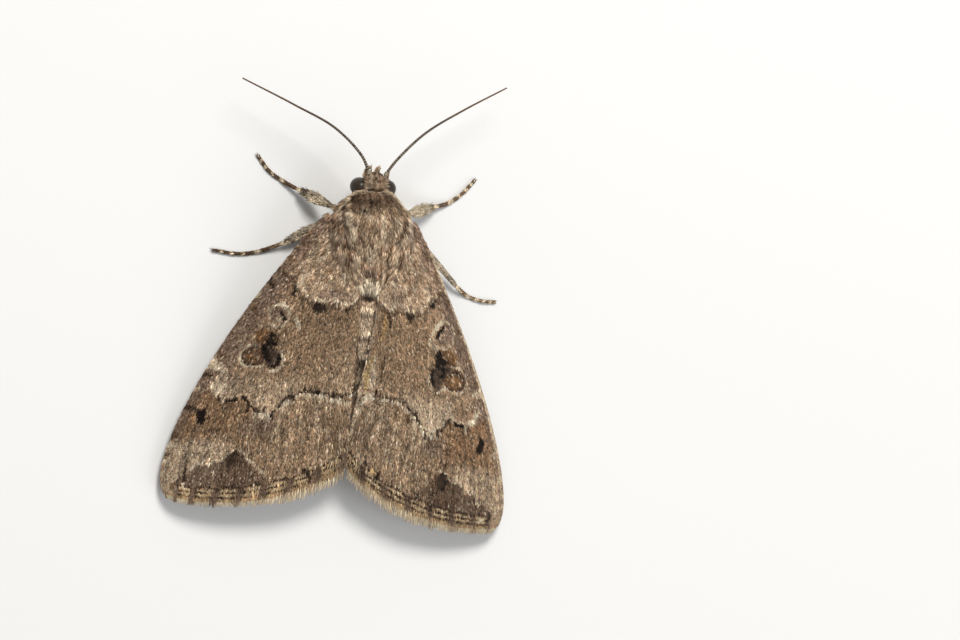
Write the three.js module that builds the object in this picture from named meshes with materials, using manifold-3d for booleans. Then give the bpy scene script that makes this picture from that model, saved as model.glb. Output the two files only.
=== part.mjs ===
// A life-size owlet moth at rest on a flat floor, with its wings folded back as a low roof over the body.
// Millimetres, +Z up, +Y from the abdomen towards the head, +X to the moth's right. The floor is z = 0.
// Places are given from the point of the floor straight under the middle of the head. At the end the whole
// group is shifted, so that its origin is the middle of its footprint.
import * as THREE from "three";
import { mergeVertices } from "three/addons/utils/BufferGeometryUtils.js";
import Module from "manifold-3d";

const wasm = await Module();
wasm.setup();

// ---------------------------------------------------------------- driving dimensions
const GAP = 0.05; // left free between neighbouring solids

// Plan of a forewing, as if it were the right one: each edge is a curve from corner to corner with two pulls between.
const WING_THICKNESS = 0.5;
const HINGE = [3, -2.1]; // where the front edge leaves the shoulder
const APEX = [11.65, -21.85];
const FRONT_EDGE = [HINGE, [10.5, -12.7], [12.9, -20.9], APEX];
const OUTER_MARGIN_PULL = [[12, -22.5], [5.7, -23.9]];
const INNER_MARGIN = {
  left: [[0.55, -5.6], [0.1, -9.5], [0.15, -15], [0.2, -19.5]],
  right: [[0.9, -5.6], [1.3, -11.5], [-0.95, -14.8], [0.45, -19.6]],
};
const WING_SWING = -1.1; // degrees that both wings lie turned to the moth's left

// Heights of the forewing's upper face, and how sharply each profile falls.
const RIDGE_HEIGHT = { base: 4.7, tornus: 2.95, sharpness: 1.4 };
const COSTA_HEIGHT = { base: 3.9, apex: 0.72, sharpness: 3 };
const ROOF_CURVE = 1.8;

const HEAD = { centre: [0, 0, 3.45], radii: [0.98, 0.9, 1.2] };
const FACE_TUFT = { centre: [0, 0.42, 3.55], radii: [0.86, 0.66, 0.98] };
const EYE = { centre: [0.94, -0.1, 3.35], radii: [0.65, 0.63, 0.86] };
const PALP_PATH = [[0.32, 0.2, 2.35], [0.34, 0.95, 2.4], [0.34, 1.22, 2.9], [0.31, 1.2, 3.6]];
const PALP_RADIUS = { root: 0.3, tip: 0.25 };

// Stations along the thorax and its cloak of hair: [y, half width, top, underside]
const THORAX = [
  [-0.45, 1.1, 4.45, 2.6],
  [-0.95, 1.92, 5.0, 2.05],
  [-1.6, 2.55, 5.4, 1.6],
  [-2.4, 3.05, 5.68, 1.3],
  [-3.4, 3.22, 5.78, 1.12],
  [-4.6, 2.95, 5.72, 1.1],
  [-5.7, 2.3, 5.42, 1.25],
  [-6.8, 1.5, 5.02, 1.9],
  [-7.6, 0.7, 4.6, 3.4],
];
const COLLAR = { rise: 0.06, middle: -1.25, length: 0.45 }; // a raised cape behind the head
const TEGULA = { rise: 0.11, middle: -3.7, length: 1.6, angle: 47, width: 15 }; // a lappet over each wing root
const CREST = { rise: 0.06, middle: -6.1, length: 0.9, angle: 90, width: 22 }; // a tuft at the thorax's rear

// Stations along the abdomen
const ABDOMEN = [
  [-6.3, 1.8, 4.4, 1.35],
  [-8.3, 1.95, 4.35, 1.0],
  [-10.3, 1.9, 3.95, 0.85],
  [-12.3, 1.65, 3.4, 0.8],
  [-14.3, 1.3, 2.95, 0.85],
  [-16.3, 0.85, 2.45, 0.95],
  [-17.8, 0.35, 1.95, 1.2],
];
const RINGS = { count: 8, rise: 0.045 }; // the abdomen's rings, each a little wider at its rear edge

const FEELER_RADIUS = { root: 0.27, tip: 0.25 };
const FEELER_SPLIT = 0.5; // share of the feeler's length at which it is parted
const FEELERS = {
  left: [[-0.52, 0.72, 4.25], [-1.2, 1.9, 4.55], [-3.15, 3.65, 4.3], [-6.0, 5.0, 3.7], [-9.65, 6.5, 3.3]],
  right: [[0.52, 0.72, 4.25], [1.2, 1.85, 4.55], [3.08, 3.83, 4.3], [5.74, 5.62, 3.7], [8.75, 7.42, 3.3]],
};

// Legs from hip to claw. The tarsus's way along the floor is in plan only.
const FLOOR_SINK = 0.05; // planed off the round underside of each tarsus, to leave a flat
const LEG_RADIUS = { hip: 0.36, knee: 0.29, ankle: 0.26, tarsus: 0.26, knuckle: 0.02 };
const TARSUS_JOINTS = 5;
const LEGS = {
  front_left: {
    hip: [-0.8, -2.2, 1.9], knee: [-2.4, -1.6, 2.05], ankle: [-4.35, -0.72, 0.62], calf: 0.42,
    tarsus: [[-5.55, -0.15], [-6.5, 0.42], [-7.4, 1.42]],
  },
  front_right: {
    hip: [0.8, -2.2, 1.9], knee: [2.75, -1.75, 2.05], ankle: [4.95, -1.05, 0.62], calf: 0.42,
    tarsus: [[6.05, -0.7], [6.92, -0.05], [7.82, 1.02]],
  },
  mid_left: {
    hip: [-0.9, -4.2, 1.35], knee: [-2.45, -2.55, 1.45], ankle: [-5.15, -4.3, 0.6], calf: 0.36,
    tarsus: [[-6.85, -5.06], [-8.3, -5.32], [-9.95, -5.22]],
  },
  mid_right: {
    hip: [0.9, -4.2, 1.35], knee: [3.95, -3.5, 1.5], ankle: [7.0, -6.25, 0.6], calf: 0.32,
    tarsus: [[7.95, -6.85], [8.9, -7.12], [9.9, -7.12]],
  },
  hind_left: {
    hip: [-0.9, -5.7, 1.4], knee: [-3.1, -7.2, 1.5], ankle: [-4.6, -11.6, 0.6], calf: 0.34,
    tarsus: [[-4.95, -13.2], [-5.2, -14.8], [-5.4, -16.4]],
  },
  hind_right: {
    hip: [0.9, -5.7, 1.4], knee: [3.1, -7.2, 1.5], ankle: [4.5, -11.7, 0.6], calf: 0.34,
    tarsus: [[4.85, -13.3], [5.05, -14.9], [5.2, -16.5]],
  },
};

// ---------------------------------------------------------------- colours of the coat
const finish = (r, g, b, roughness) =>
  new THREE.MeshStandardMaterial({ color: new THREE.Color(r, g, b), roughness, metalness: 0 });
const WING_BROWN = finish(0.26, 0.19, 0.135, 0.95);
const HIND_WING_GREY = finish(0.33, 0.28, 0.22, 0.95);
const BODY_BROWN = finish(0.3, 0.235, 0.17, 0.98);
const LEG_BUFF = finish(0.4, 0.33, 0.23, 0.9);
const FEELER_BROWN = finish(0.16, 0.12, 0.085, 0.8);
const EYE_BLACK = finish(0.015, 0.011, 0.009, 0.2);

// ---------------------------------------------------------------- solids
const { degToRad, lerp } = THREE.MathUtils;
const point = ([x, y, z]) => new THREE.Vector3(x, y, z);

// A closed three.js geometry as a manifold-3d solid that faces out.
function toSolid(geometry) {
  const bare = geometry.clone();
  bare.deleteAttribute("normal");
  bare.deleteAttribute("uv");
  const merged = mergeVertices(bare, 1e-4);
  const build = (triVerts) =>
    new wasm.Manifold(
      new wasm.Mesh({ numProp: 3, vertProperties: merged.attributes.position.array, triVerts }),
    );
  const made = build(new Uint32Array(merged.index.array));
  return made.volume() > 0 ? made : build(new Uint32Array(merged.index.array).reverse());
}

function toMesh(name, solid, material) {
  const { vertProperties, triVerts } = solid.getMesh();
  const geometry = new THREE.BufferGeometry()
    .setAttribute("position", new THREE.BufferAttribute(vertProperties, 3))
    .setIndex(new THREE.BufferAttribute(triVerts, 1));
  geometry.computeVertexNormals();
  const mesh = new THREE.Mesh(geometry, material);
  mesh.name = name;
  return mesh;
}

const joined = (solids) => solids.reduce((a, b) => a.add(b));

// Moves every vertex of a geometry to where place(x, y, z) says.
function reshape(geometry, place) {
  const at = geometry.attributes.position;
  for (let i = 0; i < at.count; i++) {
    const to = place(at.getX(i), at.getY(i), at.getZ(i));
    at.setXYZ(i, to.x, to.y, to.z);
  }
  return geometry;
}

// An egg-shaped lobe, on the other side with mirror = -1.
function lobe({ centre: [x, y, z], radii }, mirror = 1, grow = 0) {
  const ball = new THREE.SphereGeometry(1, 12, 9);
  ball.rotateX(Math.PI / 2);
  ball.scale(...radii.map((r) => r + grow));
  ball.translate(mirror * x, y, z);
  return toSolid(ball);
}

// A rod round a curve. radiusAt(k) is its radius at share k of the way.
function rod(curve, radiusAt, steps, around = 8) {
  const { normals, binormals } = curve.computeFrenetFrames(steps, false);
  const tube = new THREE.CylinderGeometry(1, 1, 1, around, steps);
  reshape(tube, (x, y, z) => {
    const n = Math.round((0.5 - y) * steps);
    const radius = radiusAt(n / steps);
    return curve
      .getPointAt(n / steps)
      .addScaledVector(normals[n], x * radius)
      .addScaledVector(binormals[n], z * radius);
  });
  return toSolid(tube);
}

// A body along Y through stations of [y, half width, top, underside]. swell(y, angle) widens it here and there.
function trunk(stations, { steps, around, grow = 0, swell = () => 0 }) {
  const widths = new THREE.SplineCurve(stations.map(([y, wide]) => new THREE.Vector2(y, wide)));
  const heights = new THREE.SplineCurve(stations.map(([, , top, low]) => new THREE.Vector2(top, low)));
  const barrel = new THREE.CylinderGeometry(1, 1, 1, around, steps);
  reshape(barrel, (x, along, z) => {
    const k = 0.5 - along;
    const { x: y, y: wide } = widths.getPoint(k);
    const { x: top, y: low } = heights.getPoint(k);
    const size = 1 + swell(y, Math.atan2(z, Math.abs(x)));
    const end = Math.sign(2 * k - 1) * (k === 0 || k === 1 ? grow : 0);
    return new THREE.Vector3(
      x * (wide + grow) * size,
      y - end,
      (top + low) / 2 + z * ((top - low) / 2 + grow) * size,
    );
  });
  return toSolid(barrel);
}

// ---------------------------------------------------------------- wings
// A wing lies on shares s, from its base to the outer margin, and t, from the front edge to the inner margin.
const edge = (...points) => new THREE.CubicBezierCurve(...points.map(([x, y]) => new THREE.Vector2(x, y)));

// A patch of the plane between four edges that meet at its corners.
function patch({ front, inner, base, outer }) {
  return (s, t) => {
    const corner = (u, k) => front.getPoint(u).lerp(inner.getPoint(u), k);
    return front
      .getPoint(s)
      .lerp(inner.getPoint(s), t)
      .add(base.getPoint(t).lerp(outer.getPoint(t), s))
      .sub(corner(0, t).lerp(corner(1, t), s));
  };
}

function forewingPlan(inner) {
  const [root, , , tornus] = inner;
  return patch({
    front: edge(...FRONT_EDGE),
    inner: edge(...inner),
    base: edge(HINGE, HINGE, root, root),
    outer: edge(APEX, ...OUTER_MARGIN_PULL, tornus),
  });
}
const SIDES = {
  left: { mirror: -1, plan: forewingPlan(INNER_MARGIN.left) },
  right: { mirror: 1, plan: forewingPlan(INNER_MARGIN.right) },
};

// The upper face of a folded forewing: steep near the front edge, flatter towards the ridge.
function forewingTop({ mirror, plan }, s, t) {
  const { x, y } = plan(s, t);
  const ridge = lerp(RIDGE_HEIGHT.base, RIDGE_HEIGHT.tornus, s ** RIDGE_HEIGHT.sharpness);
  const costa = lerp(COSTA_HEIGHT.apex, COSTA_HEIGHT.base, (1 - s) ** COSTA_HEIGHT.sharpness);
  const height = lerp(costa, ridge, 1 - (1 - t) ** ROOF_CURVE);
  return new THREE.Vector3(mirror * x, y, height).applyAxisAngle(
    new THREE.Vector3(0, 0, 1),
    degToRad(WING_SWING),
  );
}

// The hindwing is tucked under the forewing, on a smaller patch of the forewing's own shares.
const HIND_DROP = WING_THICKNESS + GAP;
const hindwingShares = patch({
  front: edge([0.12, 0.72], [0.35, 0.5], [0.66, 0.16], [0.84, 0.26]),
  inner: edge([0.14, 0.93], [0.4, 0.95], [0.65, 0.95], [0.88, 0.94]),
  base: edge([0.12, 0.72], [0.13, 0.8], [0.14, 0.9], [0.14, 0.93]),
  outer: edge([0.84, 0.26], [0.93, 0.34], [0.95, 0.75], [0.88, 0.94]),
});
function hindwingTop(side, a, b) {
  const { x: s, y: t } = hindwingShares(a, b);
  const top = forewingTop(side, s, t);
  top.z -= HIND_DROP;
  return top;
}

// A plate whose upper face is topAt(side, along, across). grow thickens it both ways.
function plate(topAt, side, along, across, grow) {
  const slab = new THREE.BoxGeometry(1, 1, 1, along, across, 1);
  reshape(slab, (x, y, z) => {
    const top = topAt(side, x + 0.5, y + 0.5);
    top.z += z > 0 ? grow : -WING_THICKNESS - grow;
    return top;
  });
  return toSolid(slab);
}

const forewing = (side, grow = 0) => plate(forewingTop, side, 18, 9, grow);
const hindwing = (side, grow = 0) => plate(hindwingTop, side, 12, 6, grow);

// ---------------------------------------------------------------- body
// How far the collar, lappets and crest swell the thorax at y, in the direction of angle.
function thoraxSwell(y, angle) {
  const bump = ({ rise, middle, length, angle: aim = 90, width = Infinity }) =>
    rise * Math.exp(-(((angle - degToRad(aim)) / degToRad(width)) ** 2) - ((y - middle) / length) ** 4);
  return bump(COLLAR) + bump(TEGULA) + bump(CREST);
}
const thorax = (grow = 0) => trunk(THORAX, { steps: 20, around: 24, grow, swell: thoraxSwell });

function abdomen() {
  const start = ABDOMEN[0][0];
  const ringLength = (start - ABDOMEN[ABDOMEN.length - 1][0]) / RINGS.count;
  const ringSwell = (y) => RINGS.rise * ((((start - y) / ringLength) % 1) - 0.5);
  return trunk(ABDOMEN, { steps: 3 * RINGS.count, around: 12, swell: ringSwell });
}
const head = (grow = 0) => lobe(HEAD, 1, grow).add(lobe(FACE_TUFT, 1, grow));
const bothEyes = (grow) => lobe(EYE, 1, grow).add(lobe(EYE, -1, grow));

function palp(mirror) {
  const path = new THREE.CatmullRomCurve3(PALP_PATH.map(([x, y, z]) => point([mirror * x, y, z])));
  return rod(path, (k) => lerp(PALP_RADIUS.root, PALP_RADIUS.tip, k), 7);
}

// Cuts a solid that follows a curve across at share k, and gives the two lengths with a gap between them.
function partedAt(solid, curve, k) {
  const saw = new THREE.BoxGeometry(4, 4, GAP);
  const turn = new THREE.Quaternion().setFromUnitVectors(point([0, 0, 1]), curve.getTangentAt(k));
  saw.applyQuaternion(turn);
  saw.translate(...curve.getPointAt(k));
  const start = curve.getPointAt(0);
  const distance = (piece) => {
    const { min, max } = piece.boundingBox();
    return point(min).add(point(max)).divideScalar(2).distanceTo(start);
  };
  return solid
    .subtract(toSolid(saw))
    .decompose()
    .sort((a, b) => distance(a) - distance(b));
}

function feeler(places) {
  const path = new THREE.CatmullRomCurve3(places.map(point));
  const whole = rod(path, (k) => lerp(FEELER_RADIUS.root, FEELER_RADIUS.tip, k), 24, 6);
  return partedAt(whole, path, FEELER_SPLIT);
}

// The three lengths of a leg. Each is cut back from the one before it.
function leg({ hip, knee, ankle, calf, tarsus }) {
  const { hip: thick, knee: kneeRadius, ankle: ankleRadius, tarsus: footRadius, knuckle } = LEG_RADIUS;
  const onFloor = ([x, y]) => point([x, y, footRadius - FLOOR_SINK]);
  const thigh = (grow) =>
    rod(new THREE.LineCurve3(point(hip), point(knee)), (k) => lerp(thick, kneeRadius, k) + grow, 3);
  const shinPath = new THREE.LineCurve3(point(knee), point(ankle));
  const shinRadius = (k) => lerp(kneeRadius, ankleRadius, k) + (calf - ankleRadius) * Math.sin(Math.PI * k) ** 2;
  const shin = (grow) => rod(shinPath, (k) => shinRadius(k) + grow, 6);
  const footPath = new THREE.CatmullRomCurve3([point(ankle), ...tarsus.map(onFloor)]);
  const footRadiusAt = (k) => footRadius + knuckle * Math.cos(2 * Math.PI * TARSUS_JOINTS * k);
  const foot = rod(footPath, footRadiusAt, 2 * TARSUS_JOINTS, 6);
  const underFloor = toSolid(new THREE.BoxGeometry(60, 60, 4).translate(0, 0, -2));
  return {
    femur: thigh(0),
    tibia: shin(0).subtract(thigh(GAP)),
    tarsus: foot.subtract(shin(GAP)).subtract(underFloor),
  };
}

// ---------------------------------------------------------------- the moth, part by part
const moth = new THREE.Group();
const put = (name, solid, material) => moth.add(toMesh(name, solid, material));
const largest = (solid) => solid.decompose().sort((a, b) => b.volume() - a.volume())[0];

const wideThorax = thorax(GAP);
const wideHead = head(GAP);

put("thorax", thorax(), BODY_BROWN);
put("head", largest(head().subtract(joined([bothEyes(GAP), wideThorax]))), BODY_BROWN);
for (const [name, side] of Object.entries(SIDES)) {
  put(`eye_${name}`, lobe(EYE, side.mirror).subtract(wideThorax), EYE_BLACK);
  put(`palp_${name}`, largest(palp(side.mirror).subtract(wideHead)), BODY_BROWN);
  const [inner, outer] = feeler(FEELERS[name]);
  put(`antenna_${name}_base`, largest(inner.subtract(joined([wideHead, bothEyes(GAP)]))), FEELER_BROWN);
  put(`antenna_${name}_tip`, outer, FEELER_BROWN);
  put(`forewing_${name}`, largest(forewing(side).subtract(wideThorax)), WING_BROWN);
  put(`hindwing_${name}`, largest(hindwing(side).subtract(wideThorax)), HIND_WING_GREY);
}
const roof = joined(Object.values(SIDES).flatMap((side) => [forewing(side, GAP), hindwing(side, GAP)]));
put("abdomen", largest(abdomen().subtract(joined([roof, wideThorax]))), BODY_BROWN);
for (const [name, shape] of Object.entries(LEGS))
  for (const [length, solid] of Object.entries(leg(shape)))
    put(`leg_${name}_${length}`, largest(solid.subtract(wideThorax)), LEG_BUFF);

const reach = new THREE.Box3().setFromObject(moth);
moth.position.set(-(reach.min.x + reach.max.x) / 2, -(reach.min.y + reach.max.y) / 2, -reach.min.z);

export default moth;
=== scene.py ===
"""The looks of a life-size owlet moth at rest: wings and their scales, furred body, eyes, feelers and legs.

Shapes are worked out in millimetres, with +Y towards the head, +X to the moth's right and +Z up, from the
point of the floor under the head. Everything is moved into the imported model's frame when a mesh is made.
"""

import math
from types import SimpleNamespace

import bpy
import numpy as np
from mathutils import Matrix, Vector
from mathutils.kdtree import KDTree


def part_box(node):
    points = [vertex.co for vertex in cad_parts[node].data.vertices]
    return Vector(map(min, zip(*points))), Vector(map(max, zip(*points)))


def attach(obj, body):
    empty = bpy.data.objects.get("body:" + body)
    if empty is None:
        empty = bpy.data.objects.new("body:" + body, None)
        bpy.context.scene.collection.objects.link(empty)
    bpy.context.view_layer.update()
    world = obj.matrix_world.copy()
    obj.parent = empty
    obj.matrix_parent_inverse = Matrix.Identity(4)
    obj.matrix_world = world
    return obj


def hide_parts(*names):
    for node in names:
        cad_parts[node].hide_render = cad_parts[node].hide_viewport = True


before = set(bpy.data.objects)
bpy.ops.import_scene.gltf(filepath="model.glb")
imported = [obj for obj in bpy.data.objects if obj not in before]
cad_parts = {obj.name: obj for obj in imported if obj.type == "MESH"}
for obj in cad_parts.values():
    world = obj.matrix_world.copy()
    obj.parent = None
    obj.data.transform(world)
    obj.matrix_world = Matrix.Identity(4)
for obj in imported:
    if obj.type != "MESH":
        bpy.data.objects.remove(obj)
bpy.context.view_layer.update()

MM = 0.001
THORAX_REAR = -7.6
thorax_low, thorax_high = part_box("thorax")
SHIFT = np.array([(thorax_low.x + thorax_high.x) / 2 / MM, thorax_low.y / MM - THORAX_REAR, 0.0])
MIRROR = {"left": -1, "right": 1}
UP = np.array([0, 0, 1.0])
DOWN = np.array([0, 0, -1.0])

COLOURS = ("pale", "dark", "black", "rust", "ochre", "grey")
MARKS = (*COLOURS, "tone")  # how much of each colour lies on the ground colour, and how light all of it is


# ------------------------------------------------------------------ small helpers
def lerp(a, b, k):
    return a + (b - a) * k


def rise(low, high, x):
    """0 below low, 1 above high, smooth between; falls instead where low is above high."""
    k = np.clip((x - low) / (high - low), 0, 1)
    return k * k * (3 - 2 * k)


def near(distance, core, soft):
    """1 within core of a line or spot, fading to 0 over soft."""
    return 1 - rise(core, core + soft, np.abs(distance))


def between(x, low, high, soft):
    return rise(low - soft, low + soft, x) * (1 - rise(high - soft, high + soft, x))


def spot(x, y, centre, radii, soft=0.25):
    """An oval patch: 1 inside, fading over the last share of its radius."""
    reach = np.hypot((x - centre[0]) / radii[0], (y - centre[1]) / radii[1])
    return 1 - rise(1 - soft, 1 + soft, reach)


def to_stretch(x, y, start, end):
    """The share along a straight stretch that lies nearest to each place, and how far off it is."""
    (ax, ay), (bx, by) = start, end
    k = ((x - ax) * (bx - ax) + (y - ay) * (by - ay)) / ((bx - ax) ** 2 + (by - ay) ** 2)
    k = np.clip(k, 0, 1)
    return k, np.hypot(x - lerp(ax, bx, k), y - lerp(ay, by, k))


def along_line(line, x):
    """The second value of a line's points, where the first is x."""
    given, values = zip(*line)
    return np.interp(x, given, values)


def unit(v):
    return v / np.maximum(np.linalg.norm(v, axis=-1, keepdims=True), 1e-9)


def laid_flat(way, normal):
    """Directions pressed into the surface that they start from."""
    return unit(way - normal * (way * normal).sum(-1, keepdims=True))


def drift(x, y, seed):
    """Smooth random field between 0 and 1, one bump to a unit."""
    table = np.random.default_rng(seed).random((64, 64))
    i, j = np.floor(x).astype(int), np.floor(y).astype(int)
    a, b = x - i, y - j
    a, b = a * a * (3 - 2 * a), b * b * (3 - 2 * b)
    i, j, i1, j1 = i % 64, j % 64, (i + 1) % 64, (j + 1) % 64
    return lerp(lerp(table[i, j], table[i1, j], a), lerp(table[i, j1], table[i1, j1], a), b)


# ------------------------------------------------------------------ marks
def blank_marks(count):
    marks = {name: np.zeros(count) for name in COLOURS}
    marks["tone"] = np.ones(count)
    return marks


def within_bounds(marks):
    for name in COLOURS:
        marks[name] = np.clip(marks[name], 0, 1)
    return marks


def joined_marks(many):
    return {name: np.concatenate([marks[name] for marks in many]) for name in MARKS}


def paint_over(marks, paint, cover):
    """Lays a paint over what is there, as far as cover says."""
    for name in COLOURS:
        marks[name] += (paint.get(name, 0.0) - marks[name]) * cover


def flecked(marks, rng, spread=0.30, light=0.07, deep=0.12):
    """Each scale its own shade, a few much lighter or darker."""
    count = len(marks["tone"])
    marks["tone"] = marks["tone"] * np.clip(1 + spread * rng.standard_normal(count), 0.35, 2.1)
    draw = rng.random(count)
    marks["pale"] = np.clip(marks["pale"] + 0.4 * (draw < light) * (1 - marks["black"]), 0, 1)
    marks["dark"] = np.clip(marks["dark"] + 0.55 * (draw > 1 - deep) * (1 - 0.7 * marks["pale"]), 0, 1)
    return marks


def tuft_shade(apart, own):
    """How light a hair is: darker towards its tuft's edge, as painted shade between the tufts, and lighter or
    darker by the tuft's own number.
    """
    return lerp(1.10, 0.78, rise(0.25, 0.75, apart)) * lerp(0.87, 1.12, own)


# ------------------------------------------------------------------ meshes from arrays
def placed(name, data):
    """A new object of the scene."""
    piece = bpy.data.objects.new(name, data)
    bpy.context.scene.collection.objects.link(piece)
    return piece


def joined(parts):
    """Several meshes' points and faces as one."""
    first = np.cumsum([0, *(len(points) for points, _ in parts)])
    faces = [own + start for (_, own), start in zip(parts, first)]
    return np.concatenate([points for points, _ in parts]), np.concatenate(faces)


def add_mesh(name, points, faces, material, marks=None, bake_uv=None, smooth=True):
    """A mesh of equal-sided faces, riding on the root body. points are in millimetres."""
    mesh = bpy.data.meshes.new(name)
    mesh.vertices.add(len(points))
    mesh.vertices.foreach_set("co", ((points + SHIFT) * MM).astype(np.float32).ravel())
    sides = faces.shape[1]
    mesh.loops.add(faces.size)
    mesh.loops.foreach_set("vertex_index", faces.astype(np.int32).ravel())
    mesh.polygons.add(len(faces))
    mesh.polygons.foreach_set("loop_start", np.arange(0, faces.size, sides, dtype=np.int32))
    mesh.update(calc_edges=True)
    mesh.validate()
    if smooth:
        mesh.shade_smooth()
    for key, values in (marks or {}).items():
        layer = mesh.attributes.new(key, "FLOAT", "POINT")
        layer.data.foreach_set("value", values.astype(np.float32))
    if bake_uv is not None:
        layer = mesh.uv_layers.new(name="OFBake")
        layer.data.foreach_set("uv", bake_uv[faces.ravel()].astype(np.float32).ravel())
    mesh.materials.append(material)
    piece = placed(name, mesh)
    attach(piece, "root")
    return piece


# A blade's points are [share of its length, share of its half width, share of its half width upwards].
SCALE_POINTS = np.array(
    [[0, 0, 0], [0.42, 1, 0], [0.90, 0.62, 0], [1, 0, 0.08], [0.90, -0.62, 0], [0.42, -1, 0], [0.5, 0, -0.3]]
)
SCALE_FACES = np.array(
    [
        [0, 5, 1], [1, 5, 4], [1, 4, 2], [2, 4, 3], [0, 1, 6],
        [1, 2, 6], [2, 3, 6], [3, 4, 6], [4, 5, 6], [5, 0, 6],
    ]
)
LOCK_POINTS = np.array(
    [[0, 0.6, 0], [0, -0.6, 0], [0, 0, 0.7], [0.5, 1, 0], [0.5, -1, 0], [0.5, 0, 0.9], [1, 0, 0.1]]
)
LOCK_FACES = np.array(
    [
        [0, 2, 1], [0, 3, 5], [0, 5, 2], [2, 5, 4], [2, 4, 1],
        [1, 4, 3], [1, 3, 0], [3, 6, 5], [5, 6, 4], [4, 6, 3],
    ]
)
SCALE = (SCALE_POINTS, SCALE_FACES)
LOCK = (LOCK_POINTS, LOCK_FACES)
BAKE_PATCH = 0.003  # each blade's own patch of the bake map, as a share of it
FLOOR_CLEARANCE = 0.004


def add_blades(name, shape, where, sizes, marks, bake_at, material):
    """Many blades as one mesh. where is (roots, along, up); sizes is (length, width, lift, curl)."""
    outline, triangles = shape
    roots, along, up = where
    length, width, lift, curl = (np.broadcast_to(v, len(roots))[:, None, None] for v in sizes)
    across = unit(np.cross(up, along))
    reach, side, thick = (outline[None, :, k, None] for k in range(3))
    climb = lift * reach + curl * reach**2
    points = (
        roots[:, None, :]
        + along[:, None, :] * reach * length
        + across[:, None, :] * side * width / 2
        + up[:, None, :] * (climb * length + thick * width / 2)
    ).reshape(-1, 3)
    points[:, 2] = np.maximum(points[:, 2], FLOOR_CLEARANCE)
    count, corners = len(roots), len(outline)
    faces = (triangles[None] + corners * np.arange(count)[:, None, None]).reshape(-1, 3)
    patch = np.stack([outline[:, 0] - 0.5, outline[:, 1] / 2], -1) * BAKE_PATCH
    bake_uv = (bake_at[:, None, :] + patch[None]).reshape(-1, 2)
    spread = {key: np.repeat(values, corners) for key, values in marks.items()}
    return add_mesh(name, points, faces, material, spread, bake_uv, smooth=False)


def bake_place(along, across):
    """Where shares along and across a piece lie on its bake map, inside its border."""
    return np.stack([0.02 + 0.94 * along, 0.02 + 0.94 * across], -1)


def lattice(surface, rows, columns, closed=False):
    """Points and quads of surface(u, v) over the unit square; closed joins v = 1 to v = 0."""
    u = np.linspace(0, 1, rows)
    v = np.linspace(0, 1, columns, endpoint=not closed)
    uu, vv = np.meshgrid(u, v, indexing="ij")
    points = surface(uu.ravel(), vv.ravel())
    i, j = np.meshgrid(np.arange(rows - 1), np.arange(columns - (0 if closed else 1)), indexing="ij")
    i, j = i.ravel(), j.ravel()
    after = (j + 1) % columns
    row, next_row = i * columns, (i + 1) * columns
    quads = np.stack([row + j, next_row + j, next_row + after, row + after], -1)
    return points, quads, uu.ravel(), vv.ravel()


def length_of(points):
    return np.linalg.norm(np.diff(points, axis=0), axis=1)


def spread_over(surface, row_gap, column_gap, rng, span=(0, 1)):
    """Places u, v on a surface in staggered rows, evenly by true distance."""
    fine = np.linspace(span[0], span[1], 200)
    run = np.concatenate([[0], np.cumsum(length_of(surface(fine, np.full(200, 0.5))))])
    rows = max(2, int(run[-1] / row_gap))
    us, vs = [], []
    for u in np.interp((np.arange(rows) + 0.5) / rows * run[-1], run, fine):
        ring = surface(np.full(24, u), np.linspace(0, 1, 24))
        number = max(1, int(length_of(ring).sum() / column_gap))
        vs.append((np.arange(number) + rng.random(number)) / number)
        us.append(u + (rng.random(number) - 0.5) * (span[1] - span[0]) / rows)
    return np.clip(np.concatenate(us), *span), np.concatenate(vs)


def frames_on(surface, u, v, facing=None):
    """Point, direction of growing u, and outward normal of a surface at each place."""
    step = 1e-3
    here = surface(u, v)
    along = unit(surface(u + step, v) - surface(u - step, v))
    beside = surface(u, v + step) - surface(u, v - step)
    up = unit(np.cross(along, beside))
    if facing is not None:
        up *= np.sign((up * facing).sum(-1, keepdims=True))
    return here, along, up


def swing(along, up, spread, rng, turn=0.0):
    """Turns the directions within the surface by an angle in radians, a little different for each."""
    angle = turn + spread * rng.standard_normal(len(along))
    return unit(along * np.cos(angle)[:, None] + np.cross(up, along) * np.sin(angle)[:, None])


def tufted(roots, along, up, length, gap, pull, rng):
    """Draws hairs together into tufts about gap apart.

    Returns the new directions, how far each root is from its tuft's middle, in gaps, and a number for
    each tuft.
    """
    _, middles = np.unique(np.floor(roots / gap).astype(int), axis=0, return_index=True)
    tree = KDTree(len(middles))
    for number, middle in enumerate(middles):
        tree.insert(roots[middle], number)
    tree.balance()
    found = [tree.find(root) for root in roots]
    mine = np.array([middles[number] for _, number, _ in found])
    apart = np.array([distance for _, _, distance in found]) / gap
    tips = roots[mine] + along[mine] * length[mine][:, None] * 1.1
    way = unit(lerp(roots + along * length[:, None], tips, pull) - roots)
    return laid_flat(way, up), apart, rng.random(len(roots))[mine]


# ------------------------------------------------------------------ the wings' shape
HINGE = (3.0, -2.1)
APEX = (11.65, -21.85)
FRONT_EDGE = (HINGE, (10.5, -12.7), (12.9, -20.9), APEX)
OUTER_PULL = ((12, -22.5), (5.7, -23.9))
INNER_MARGIN = {
    "left": ((0.55, -5.6), (0.17, -9.5), (-0.26, -15), (-0.22, -19.5)),
    "right": ((0.9, -5.6), (1.25, -11.5), (-0.35, -14.8), (0.44, -19.6)),
}
WING_SWING = math.radians(-1.1)
RIDGE_HEIGHT = (4.7, 2.95)  # of the inner margin, at the base and at the rear
EDGE_HEIGHT = (3.9, 0.72)  # of the front edge, at the base and at the rear
COAT_DEPTH = 0.12  # the scales' thickness over the membrane
MEMBRANE = 0.07
FRINGE_START = 0.948  # share of the wing's length where the fringe takes over
# Middles between the veins, as t
CELLS = (-0.09, 0.04, 0.165, 0.29, 0.42, 0.545, 0.65, 0.755, 0.86, 0.965, 1.07)
HIND_DROP = 0.65  # how far the hindwing lies under the forewing's face


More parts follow.
